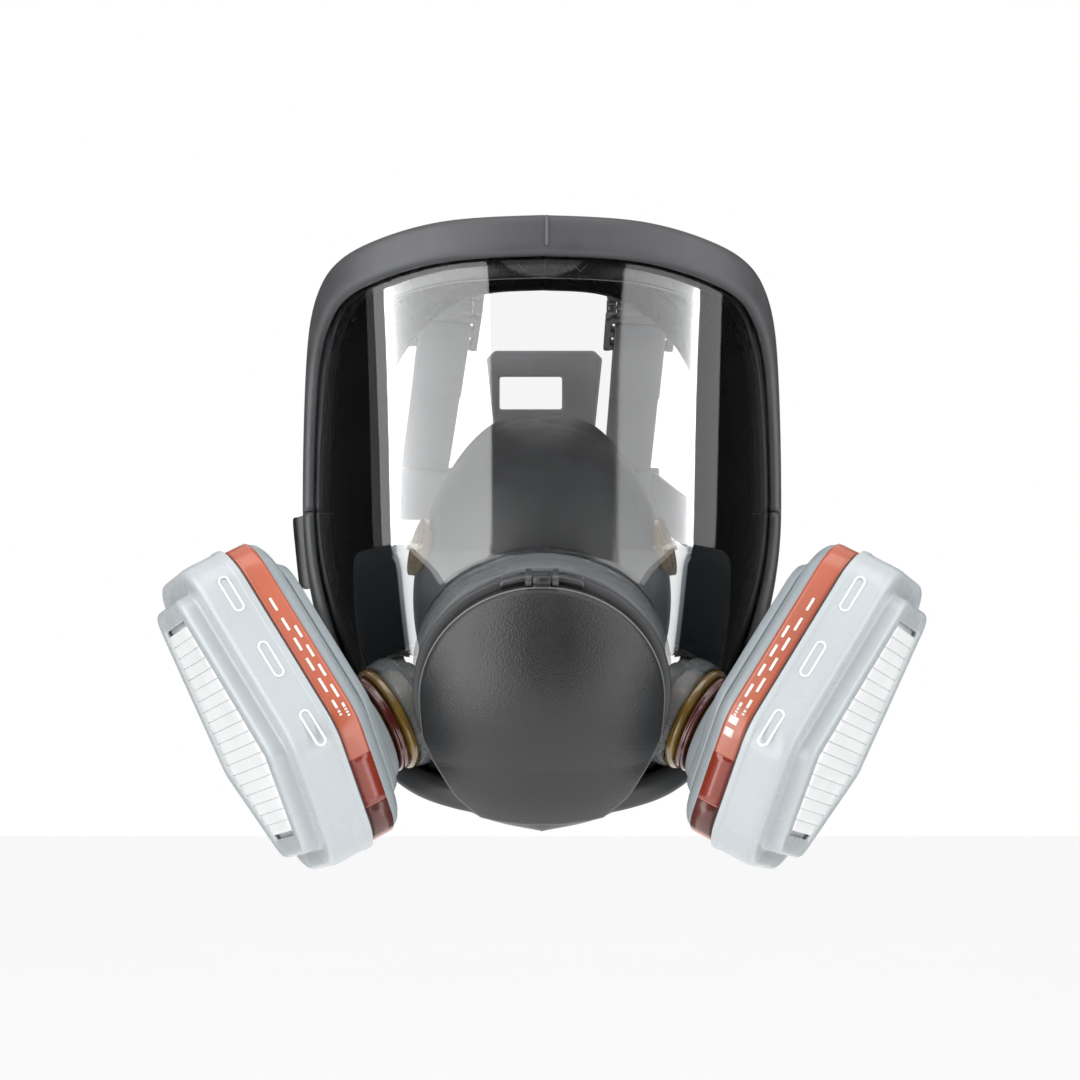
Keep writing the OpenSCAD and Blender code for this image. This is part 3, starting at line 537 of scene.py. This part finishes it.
# where each buckle turns, and where its strap ends on the crown plate
PIN = {"upper_left": (-35, 14, 87), "upper_right": (37, 14, 86),
       "lower_left": (-86, 12, -4), "lower_right": (81, 13, -4)}
END = {"upper_left": (-47, 97, 27), "upper_right": (34, 97, 27),
       "lower_left": (-56, 97, 18), "lower_right": (46, 97, 18)}
TAB_W = 26                                   # width of a harness tab at its buckle
BULGE = {"lower_left": 8, "lower_right": 3}  # how far a tab bows outwards; the others bow by 5


def corner_axes(c):
    """Pin's place, width direction, direction along the strap, and direction off its outer face."""
    p = np.array(PIN[c], float)
    d = unit(np.array(END[c]) - p)
    a = np.array([1.0, 0, 0] if c.startswith("upper") else [0, 0, 1.0])
    a = unit(a - (a @ d) * d)
    return p, a, d, np.cross(a, d)


def corner_pt(c, x, y, z):
    p, a, d, n = corner_axes(c)
    return p + x * a + y * d + z * n


def superellipse(w, t, count, power=4):
    """Rounded rectangle of half sizes w and t."""
    out = []
    for k in around(count):
        c, s = math.cos(k), math.sin(k)
        out.append((w * math.copysign(abs(c) ** (2 / power), c), t * math.copysign(abs(s) ** (2 / power), s)))
    return out


for c in CORNERS:
    p, a, d, n = corner_axes(c)
    upper = c.startswith("upper")
    root = np.array([p[0] * 0.9, -24, 94] if upper else [math.copysign(71.3, p[0]), -6.2, -4.35])
    away = np.array([0, 0, 1.0] if upper else [math.copysign(1, p[0]), 0, 0])
    rows = []
    for u in np.linspace(0, 1, 17):
        m = root + (p - 4.6 * d - root) * u + BULGE.get(c, 5) * math.sin(u * math.pi) * away
        w = 14 + (TAB_W / 2 - 14) * u
        rows.append([m + x * a + z * n for x, z in superellipse(w, 1.4, 40, 6)])
    seal.loft(rows)
    for x in (-TAB_W / 2, TAB_W / 2 - 3.4):
        seal.loft([[corner_pt(c, x + h, 3 * q * math.cos(t), 3 * q * math.sin(t)) for t in around(40)]
                   for q, h in ((0.88, 0), (1, 0.3), (1, 3.1), (0.88, 3.4))])
        seal.loft([[corner_pt(c, x + 1.7 + u, y, v) for u, v in superellipse(1.7, 1.5, 20, 5)]
                   for y in (-6.4, -3.2, -1)])
# small ridges on the seal's shelf, two V marks and a short line at the top, pale grey as painted highlight
marks = Shape()
for spot in (-0.5, 0.92):
    for lean in (-1, 1):
        marks.loft([[rim_point(spot + lean * reach, w + 0.25 * math.sin(t), -2.75 + 0.35 * math.cos(t))
                     for t in around(12)] for w, reach in ((-4.9, 0), (-2.2, 0.13))])
marks.loft([[rim_point(0.1 + 0.012 * math.sin(t), w, -2.85 + 0.2 * math.cos(t)) for t in around(12)]
            for w in (-5.6, -0.6)])
marks.make("face_seal_marks", "facepiece", "ridge_highlight", slot="seal_rubber")
seal.make("face_seal_skin", "facepiece", "seal_rubber", nodes=["face_seal"])

# ------------------------------------------------------------------ nose cup
CUP_REAR = [[0, -20, 46], [19, -18, 41], [35, -12, 22], [44, -8, -5], [45, -10, -28], [38, -14, -52],
            [24, -22, -72], [0, -28, -82]]


def cup_back(u):
    v = u % 1
    p = spline(CUP_REAR, 2 * v if v <= 0.5 else 2 - 2 * v)
    return p if v <= 0.5 else p * (-1, 1, 1)


def cup_at(u, s):
    sn, cs = math.sin(2 * math.pi * u), math.cos(2 * math.pi * u)
    f, r = adapter_pt(33.9 * sn, 33.9 * cs, -18), cup_back(u)
    lift = math.sin(math.pi * max(s, 0) ** 0.75) * (9 + (10 if cs > 0 else 7) * cs)
    return f + (r - f) * s + lift * np.array([sn * 0.6, -0.3, cs * 0.8])


def cup_normal(u, s, e=0.004):
    return unit(np.cross(cup_at(u + e, s) - cup_at(u - e, s), cup_at(u, s + e) - cup_at(u, s - e)))


def cup_ring(u):
    sn, cs = math.sin(2 * math.pi * u), math.cos(2 * math.pi * u)
    steps = np.linspace(0.02, 0.98, 28)
    outer = [adapter_pt(36 * sn, 36 * cs, -17.6)] + [cup_at(u, s) for s in steps]
    back = cup_back(u)
    lip = [back + (0, 0.6, 0), back + (-3 * sn, 1.6, -3 * cs), back + (-8.6 * sn, 2.2, -8.6 * cs),
           back + (-9 * sn, 1, -9 * cs), back + (-8.4 * sn, 0, -8.4 * cs), back + (-4 * sn, -0.8, -4 * cs)]
    inner = [cup_at(u, s) - 2 * cup_normal(u, s) for s in steps[::-1][1:]]
    return outer + lip + inner + [adapter_pt(33.9 * sn, 33.9 * cs, -21.4)]


cup = Shape().loft([cup_ring(k / 120) for k in range(120)], loop=True)
cup.make("nose_cup_skin", "facepiece", "cup_rubber", nodes=["nose_cup"])

# ------------------------------------------------------------------ centre adapter
rings = Shape()
for r, z in ((42.5, 9.9), (42.5, 12.3)):
    trim = [(r + 0.35 * math.cos(t), z + 0.45 * math.sin(t)) for t in around(12)]
    rings.loft(lathe_rings(adapter_pt, trim, 144), loop=True)
step = chaikin([(41.0, 9.3), (43.2, 9.3), (43.4, 12.6), (42.9, 14.2), (41.2, 14.4)], 2, keep=0.2)
rings.loft([[adapter_pt(r * k * math.sin(t), r * k * math.cos(t), z) for r, z in step]
            for t, k in zip(np.radians([-19, -18.4, -17, -10, -5, 0, 5, 10, 17, 18.4, 19]),
                            [0.985, 0.995] + [1] * 7 + [0.995, 0.985])])
rings.make("adapter_ring_trim", "facepiece", "adapter_black")
# black plugs set in the two pin holes: painted shade for their dark insides
holes = Shape()
for x in (-6.8, 6.8):
    y = math.sqrt(43.25 ** 2 - x * x)
    holes.loft([[adapter_pt(x + 0.55 * math.cos(t), y + d, 11.4 + 0.55 * math.sin(t)) for t in around(20)]
                for d in (-0.4, 0.12)])
holes.make("adapter_pinholes", "facepiece", "hole_shade", slot="adapter_black")

# ------------------------------------------------------------------ cover
COVER = dict(r=40.6, back=13.4, apex=34, sphere=59.5, wall=2.4)
HINGE = (42.4, 15.8, 1.9)  # y, z and radius of the cover's hinge barrel
COVER_SIDE = [(40.6, -3), (39.9, -15.2), (36.7, -24.3), (28.9, -37), (20.6, -44), (0, -44)]


def cover_edge(t):
    """Distance from the cover's middle to its outline at an angle, 0 up and growing to the right."""
    x, y = abs(math.sin(t)), math.cos(t)
    reach = COVER["r"]
    for (ax, ay), (bx, by) in zip(COVER_SIDE, COVER_SIDE[1:]):
        cross = x * (by - ay) - y * (bx - ax)
        if abs(cross) > 1e-9:
            along = (ax * (by - ay) - ay * (bx - ax)) / cross
            share = (ax * y - ay * x) / cross
            if along > 0 and -1e-6 <= share <= 1 + 1e-6:
                reach = max(reach, along)
    return reach


def cover_height(x, y, inset=0.0):
    """Height of the cover's dome, blended into the bulge of its outlet."""
    main = COVER["apex"] - COVER["sphere"] + math.sqrt(max((COVER["sphere"] - inset) ** 2 - x * x - y * y, 0))
    spout = COVER["apex"] - COVER["sphere"] + 6 + math.sqrt(max((50 - inset) ** 2 - x * x - (y + 20) ** 2, 0))
    k = 1.4
    top = max(main, spout)
    return top + k * math.log1p(math.exp(-abs(main - spout) / k)) * 0.6


def cover_rings():
    rings, count = [], 240
    angles = around(count)
    reach = np.array([cover_edge(t) for t in angles])
    for _ in range(2):
        reach = (np.roll(reach, 1) + 2 * reach + np.roll(reach, -1)) / 4
    inner_reach = reach - COVER["wall"]

    def ring(edge, share, inset, drop=None):
        out = []
        for t, e in zip(angles, edge):
            x, y = math.sin(t) * e * share, math.cos(t) * e * share
            out.append(adapter_pt(x, y, cover_height(x, y, inset) if drop is None else drop))
        return out

    for share in list(np.linspace(0.02, 0.94, 34)) + [0.965, 0.982]:
        rings.append(ring(reach, share, 0))
    # the rounded shoulder and the skirt
    for share, drop in ((0.994, 0.7), (1.0, 1.9)):
        rings.append([adapter_pt(math.sin(t) * e * share, math.cos(t) * e * share,
                                 max(cover_height(math.sin(t) * e, math.cos(t) * e) - drop, COVER["back"] + 0.6))
                      for t, e in zip(angles, reach)])
    rings.append(ring(reach, 1, 0, COVER["back"] + 0.5))
    rings.append(ring(reach, 0.992, 0, COVER["back"]))
    rings.append(ring(inner_reach, 1.008, 0, COVER["back"]))
    rings.append(ring(inner_reach, 1, 0, COVER["back"] + 0.5))
    for share in [1.0] + list(np.linspace(0.96, 0.02, 20)):
        rings.append(ring(inner_reach, share, COVER["wall"]))
    return rings


cover = Shape().loft(cover_rings())
cover.loft([[adapter_pt(x, HINGE[0] + HINGE[2] * q * math.cos(t), HINGE[1] + HINGE[2] * q * math.sin(t))
             for t in around(32)]
            for x, q in ((-3, 0.86), (-2.7, 1), (2.7, 1), (3, 0.86))])
cover.loft([[adapter_pt(u, y, 16.2 + v) for u, v in superellipse(2.9, 1.2, 24, 5)] for y in (38.6, 40.2, 42.2)])
cover.make("cover_skin", "cover", "cover_black", nodes=["exhalation_cover"])
# a thin bead round the cover's rim, its pale grey a painted highlight
bead = []
for t in around(288):
    e = cover_edge(t) - 0.25
    x, y = math.sin(t), math.cos(t)
    z = max(cover_height(x * e, y * e) - 1.1, COVER["back"] + 0.9)
    bead.append([adapter_pt(x * (e + 0.42 * math.cos(q)), y * (e + 0.42 * math.cos(q)), z + 0.42 * math.sin(q))
                 for q in around(10)])
Shape().loft(bead, loop=True).make("cover_rim_highlight", "cover", "ridge_highlight", slot="cover_black")

# ------------------------------------------------------------------ cartridges
CART_W, CART_L, CART_ROUND, SHIFT = 86, 106, 14, 21
CART = [(x * (CART_W / 2 - CART_ROUND), y * (CART_L / 2 - CART_ROUND))
        for x, y in ((0.53, 1), (-0.53, 1), (-1, -0.3), (-0.46, -1), (0.46, -1), (1, -0.3))]


def outline(grow, scale=1.0, arc=9, straight=5):
    """Cartridge outline grown by some millimetres, as points in order."""
    out = []
    n = len(CART)
    for k in range(n):
        before = np.subtract(CART[k], CART[k - 1])
        after = np.subtract(CART[(k + 1) % n], CART[k])
        a = math.atan2(before[1], before[0]) - math.pi / 2
        turn = (math.atan2(after[1], after[0]) - math.atan2(before[1], before[0])) % (2 * math.pi)
        r = max(CART_ROUND + grow, 0.4)
        arc_pts = [np.array(CART[k])
                   + r * np.array([math.cos(a + turn * j / (arc - 1)), math.sin(a + turn * j / (arc - 1))])
                   for j in range(arc)]
        out += arc_pts
        b = a + turn
        begin = arc_pts[-1]
        finish = np.array(CART[(k + 1) % n]) + r * np.array([math.cos(b), math.sin(b)])
        out += [begin + (finish - begin) * j / straight for j in range(1, straight)]
    return [(p[0] * scale, p[1] * scale + SHIFT) for p in out]


def layers(side, profile):
    """Rings of the cartridge outline for (grow, z) or (grow, z, scale) rows."""
    return [[port_pt(side, x, y, row[1]) for x, y in outline(row[0], row[2] if len(row) > 2 else 1.0)]
            for row in profile]


def pill(at, along, normal, length, height, tube, count=40):
    """A raised rounded-slot bead on a wall of the cartridge."""
    along, normal = np.array(along), np.array(normal)
    up = np.cross(normal, along)
    rings = []
    half = length / 2 - height / 2
    for k in range(count):
        t = 2 * math.pi * k / count
        cx, cy = math.cos(t) * height / 2, math.sin(t) * height / 2
        cx += half if math.cos(t) >= 0 else -half
        out = unit(math.cos(t) * along + math.sin(t) * up)
        base = at + cx * along + cy * up
        rings.append([base + tube * (math.cos(a) * out + math.sin(a) * normal) for a in around(8)])
    return rings


for side in SIDES:
    body = "cartridge_" + side

    def at(x, y, z, s=side):
        return port_pt(s, x, y, z)

    plate = [(-16, 0.2, 0.8), (-1.2, 0, 0.8), (0, 1, 0.8), (0, 3.2, 0.83), (-1, 3.7, 0.84), (-16, 3.7, 0.84)]
    socket = chaikin([(13.7, -4.9), (17.6, -4.9), (18.6, -4), (18.6, 8.8), (13.7, 8.8)], 1)
    base = Shape().loft(layers(side, chaikin(plate, 1, closed=False)))
    base.loft(lathe_rings(at, socket, 96), loop=True)
    base.make("cartridge_base_skin_" + side, body, "cartridge_grey", nodes=["cartridge_base_" + side])
    wall = [(-14, 3.9, 0.84), (-1, 3.9, 0.84), (0, 4.2, 0.865), (0, 4.9, 0.93), (0, 6.6, 0.98), (0, 8.6, 1), (0, 9, 1),
            (0.1, 9.1, 1), (0.1, 17.6, 1), (0, 17.7, 1), (0, 21.6, 1), (-0.4, 22, 1), (-1.6, 22, 1), (-2, 21.6, 1),
            (-2, 9, 1), (-2, 6.6, 0.96), (-14, 6.4, 0.9)]
    shell = Shape().loft(layers(side, chaikin(wall, 1, closed=False, keep=0.2)))
    shell.make("cartridge_shell_skin_" + side, body, "cartridge_grey", nodes=["cartridge_shell_" + side])
    band = Shape().loft(layers(side, chaikin([(0.15, 9.3), (0.8, 9.3), (0.8, 17.1), (0.15, 17.1)], 1, keep=0.15)),
                        loop=True)
    band.make("label_band_skin_" + side, body, "label_orange", nodes=["label_band_" + side])
    # the band's painted shade, a dark red then a brown patch down its lower end, and its printed plain patches and
    # bars
    ring_pts = [np.array(q) for q in outline(0.9)]
    _, ax, ay, _ = port_axes(side)
    count = len(ring_pts)

    def facing(k):
        run = unit(ring_pts[(k + 1) % count] - ring_pts[k - 1])
        return -(run[1] * ax - run[0] * ay)[1]

    front = sorted((k for k in range(count) if facing(k) > 0.25),
                   key=lambda k: -(ring_pts[k] @ np.array([ax[2], ay[2]])))
    line = [ring_pts[k] for k in front]

    def patch(shape, u0, u1, z0, z1, lift=0.12):
        rows = []
        for u in np.linspace(u0, u1, 10):
            q = spline(line, u)
            run = unit(spline(line, min(u + 0.01, 1)) - spline(line, max(u - 0.01, 0)))
            off = np.array([run[1], -run[0]])
            if (off[0] * ax + off[1] * ay)[1] > 0:
                off = -off
            rows.append([at(*(q + off * h), z) for z, h in ((z0, -0.3), (z0, lift), (z1, lift), (z1, -0.3))])
        shape.loft(rows)

    dark, brown, print_ = Shape(), Shape(), Shape()
    patch(dark, 0.7, 0.8, 9.3, 17.1)
    patch(brown, 0.803, 0.99, 9.3, 17.1)
    for k in range(9):
        patch(print_, 0.24 + k * 0.026, 0.24 + k * 0.026 + 0.016, 13.6, 14.5, 0.14)
        patch(print_, 0.28 + k * 0.025, 0.28 + k * 0.025 + 0.015, 11.2, 12.1, 0.14)
    if side == "right":
        patch(print_, 0.5, 0.56, 10.4, 13.6, 0.14)
        patch(print_, 0.6, 0.66, 10.4, 13.6, 0.14)
    dark.make("label_shade_dark_" + side, body, "label_shade_dark", slot="label_orange")
    brown.make("label_shade_brown_" + side, body, "label_shade_brown", slot="label_orange")
    print_.make("label_bars_" + side, body, "label_print", slot="label_orange")
    # felt pad, crowned, on the inlet side
    pad = [(-16, 22.8), (-4.4, 22.8), (-3.2, 23.6), (-3, 26), (-3.4, 28.6), (-5, 30), (-8, 30.8), (-14, 31),
           (-26, 31.2)]
    felt = Shape().loft(layers(side, chaikin(pad, 2, closed=False)))
    felt.make("filter_pad_felt_" + side, body, "felt", nodes=["filter_pad_" + side])

    body = "holder_" + side
    skirt = [(2, 17.9), (2.4, 18.2), (2.4, 20), (2, 20.6), (2, 31), (1.4, 32.7), (0, 33.4), (-4.6, 33.5),
             (-5.6, 33.8), (-6, 34.6), (-6, 38.2), (-6.8, 39.3), (-8.4, 39.6), (-12.4, 39.6), (-13.2, 39.2),
             (-13.2, 38), (-8, 37.8), (-7.8, 33), (-7.4, 31.8), (0.5, 31.6), (0.5, 17.9)]
    holder = Shape().loft(layers(side, chaikin(skirt, 2, keep=0.2)), loop=True)
    holder.make("filter_holder_skin_" + side, body, "holder_milky", nodes=["filter_holder_" + side])
    # the front grille and plate take the lighter copy of the holder's plastic, painted light
    grille = Shape()
    limits = outline(-13)
    for y in np.arange(-36, 37, 4.0):
        level = SHIFT + y
        cross = [abs(p[0] + (q[0] - p[0]) * (level - p[1]) / (q[1] - p[1]))
                 for p, q in zip(limits, limits[1:] + limits[:1]) if (p[1] - level) * (q[1] - level) < 0]
        if not cross:
            continue
        half = max(cross) + 0.6
        grille.loft([[at(u, level + v, 38.6 + w) for v, w in superellipse(1.97, 0.7, 24, 5)]
                     for u in np.linspace(-half, half, 9)])
    grille.loft(layers(side, [(-8.2, 36.6), (-8.2, 37.4)]))
    grille.make("holder_grille_" + side, body, "holder_front", slot="holder_milky")
    # the clips take the lighter copy of the holder's plastic too, painted light
    clips = Shape()
    _, ax, ay, _ = port_axes(side)
    for s in (-1, 1):
        corner_a, corner_b = np.array(CART[0]) * (s, 1), np.array(CART[5]) * (s, 1)
        run = unit(corner_b - corner_a)
        out = np.array([run[1], -run[0]])
        if out[0] * s < 0:
            out = -out
        for f in (0.06, 0.55, 1.06):
            spot = corner_a + (corner_b - corner_a) * f + out * (CART_ROUND + 2.05)
            clips.loft(pill(at(spot[0], spot[1] + SHIFT, 24.6), run[0] * ax + run[1] * ay, out[0] * ax + out[1] * ay,
                            13, 3.2, 0.42), loop=True)
    clips.make("holder_clips_" + side, body, "holder_front", slot="holder_milky")

# ------------------------------------------------------------------ ports
for side in SIDES:
    def at(x, y, z, s=side):
        return port_pt(s, x, y, z)

    tube = chaikin([(11.4, -26.4), (11.4, -13.4), (2.6, -13.2), (2.6, -11.6), (11.4, -11.4), (11.4, -1.2), (13, -1),
                    (13, -9.6), (17.9, -9.8), (18.6, -10.6), (18.6, -12), (17.9, -12.8), (14.5, -12.8),
                    (14.5, -26.4)], 1, keep=0.1)
    port = Shape().loft(lathe_rings(at, tube, 96), loop=True)
    for k in range(3):
        mid = math.radians(30 + 120 * k)
        lug = ((-0.4, -3.4), (2.4, -3.4), (2.6, -3), (2.6, -1.3), (2.3, -1), (-0.4, -1))
        port.loft([[at((13 + h) * math.cos(t), (13 + h) * math.sin(t), z) for h, z in lug]
                   for t in np.linspace(mid - 0.3, mid + 0.3, 9)])
    port.make("port_skin_" + side, "facepiece", "amber_plastic", nodes=["port_" + side])
    ring = chaikin([(13.3, -9.3), (16.8, -9.3), (17.6, -8.6), (17.2, -7.6), (17.6, -6.6), (16.8, -5.9),
                    (13.3, -5.9)], 2)
    gasket = Shape().loft(lathe_rings(at, ring, 96), loop=True)
    gasket.make("port_gasket_skin_" + side, "facepiece", "red_rubber", nodes=["port_gasket_" + side])


# ------------------------------------------------------------------ harness
def webbing(shape, path, across, width=19.0, thick=1.6, pitch=1.7, depth=0.3):
    """A ribbed strap along a path of points, with a width direction for each."""
    length = sum(np.linalg.norm(np.subtract(path[k + 1], path[k])) for k in range(len(path) - 1))
    rows = max(int(length / pitch * 4), 8)
    fine = [spline(path, k / rows) for k in range(rows + 1)]
    rings = []
    for k, p in enumerate(fine):
        t = unit(fine[min(k + 1, rows)] - fine[max(k - 1, 0)])
        a = spline(across, k / rows)
        a = unit(a - (a @ t) * t)
        n = np.cross(a, t)
        rib = depth * math.cos(2 * math.pi * k / 4)
        ring = []
        for x, z in superellipse(width / 2, thick / 2, 36, 7):
            edge = 1 - abs(x) / (width / 2)
            ring.append(p + x * a + (z + math.copysign(rib * min(1, edge * 8), z)) * n)
        rings.append(ring)
    shape.loft(rings)
    return shape


for c in CORNERS:
    p, a, d, n = corner_axes(c)
    span = np.linalg.norm(np.array(END[c]) - p)
    sag = np.array([0, 0, -2.0]) if c.startswith("upper") else np.array([0, 0, -3.0])
    path = [corner_pt(c, 0, 17.6, -0.4), corner_pt(c, 0, 18.6, 2.0)] + [
        corner_pt(c, 0, 18.6 + (span - 18.6) * u, 2.6) + sag * math.sin(math.pi * u) for u in np.linspace(0.12, 1, 7)]
    strap = webbing(Shape(), path, [a] * len(path)).make("strap_web_" + c, None, "webbing", nodes=["strap_" + c])
    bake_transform(strap)
    run = [(10.2, 3.0), (10.0, 0.5), (10.2, -2.4), (14, -3.8), (22, -4.2), (32, -4.0), (42, -4.0), (48.6, -3.8)]
    tail = webbing(Shape(), [corner_pt(c, 0, y, z) for y, z in run], [a] * len(run))
    tail.make("strap_tail_web_" + c, "buckle_" + c, "webbing", nodes=["strap_tail_" + c])
    buckle = Shape()
    for y0, y1 in ((4.2, 8.4), (11.8, 16.4), (19.8, 23.8)):
        buckle.loft([[corner_pt(c, x, (y0 + y1) / 2 + u, v) for u, v in superellipse((y1 - y0) / 2, 1.5, 28, 4)]
                     for x in np.linspace(-12.4, 12.4, 13)])
    for s in (-1, 1):
        buckle.loft([[corner_pt(c, s * 11.8 + u, y, v) for u, v in superellipse(1.4, 1.5, 28, 4)]
                     for y in np.linspace(4.4, 23.6, 9)])
    buckle.loft([[corner_pt(c, x, 2.7 * q * math.cos(t), 2.7 * q * math.sin(t)) for t in around(40)]
                 for q, x in ((0.88, -9.2), (1, -8.8), (1, 8.8), (0.88, 9.2))])
    buckle.loft([[corner_pt(c, u, y, v) for u, v in superellipse(9.2, 1.4, 40, 8)] for y in (0, 2.5, 6)])
    buckle.make("buckle_skin_" + c, "buckle_" + c, "buckle_black", nodes=["buckle_" + c])


def softened(node, name, mat, body, width, segments=3):
    """A copy of a CAD node with its sharp edges rounded over."""
    data = frame["nodes"][node].data.copy()
    bm = bmesh.new()
    bm.from_mesh(data)
    bmesh.ops.remove_doubles(bm, verts=bm.verts, dist=1e-6)
    bmesh.ops.dissolve_limit(bm, angle_limit=0.02, verts=bm.verts, edges=bm.edges)
    sharp = [e for e in bm.edges if len(e.link_faces) == 2 and e.calc_face_angle(0) > 0.5]
    bmesh.ops.bevel(bm, geom=sharp, offset=width * MM, segments=segments, profile=0.6, affect="EDGES",
                    clamp_overlap=True)
    for f in bm.faces:
        f.smooth = True
    bm.to_mesh(data)
    bm.free()
    data.materials.clear()
    data.materials.append(M[mat])
    piece = bpy.data.objects.new(name, data)
    bpy.context.scene.collection.objects.link(piece)
    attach(piece, body)
    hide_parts(node)
    return piece


softened("crown_plate", "crown_plate_skin", "crown_rubber", "crown", 1.0)

# ------------------------------------------------------------------ floor and studio flags
floor = bpy.data.meshes.new("floor")
floor.from_pydata([(-8, -8, -0.95), (8, -8, -0.95), (8, 8, -0.95), (-8, 8, -0.95)], [], [(0, 1, 2, 3)])
floor = bpy.data.objects.new("floor", floor)
bpy.context.scene.collection.objects.link(floor)
floor.data.materials.append(material("floor_pale", (0.93, 0.93, 0.93), 0.9, vary=0.005, vary_scale=3,
                                     Emission_Color=(1, 1, 1, 1), Emission_Strength=0.3))


def flag(name, first, last, radius, shade):
    """A dark curved panel of the studio, outside the view, that the gloss picks up."""
    turns = np.radians(np.linspace(first, last, 24))
    verts = [(radius * math.sin(t), -0.04 - radius * math.cos(t), z) for t in turns for z in (-1.4, 1.4)]
    data = bpy.data.meshes.new(name)
    data.from_pydata(verts, [], [(2 * k, 2 * k + 2, 2 * k + 3, 2 * k + 1) for k in range(23)])
    panel = bpy.data.objects.new(name, data)
    bpy.context.scene.collection.objects.link(panel)
    data.materials.append(material(name, (shade, shade, shade), 1.0, vary=0.02))
    panel.visible_camera = panel.visible_diffuse = panel.visible_shadow = False


flag("flag_left", -162, -92, 2.1, 0.04)
flag("flag_right", 96, 162, 2.1, 0.04)
flag("flag_front", -24, 36, 2.1, 0.03)
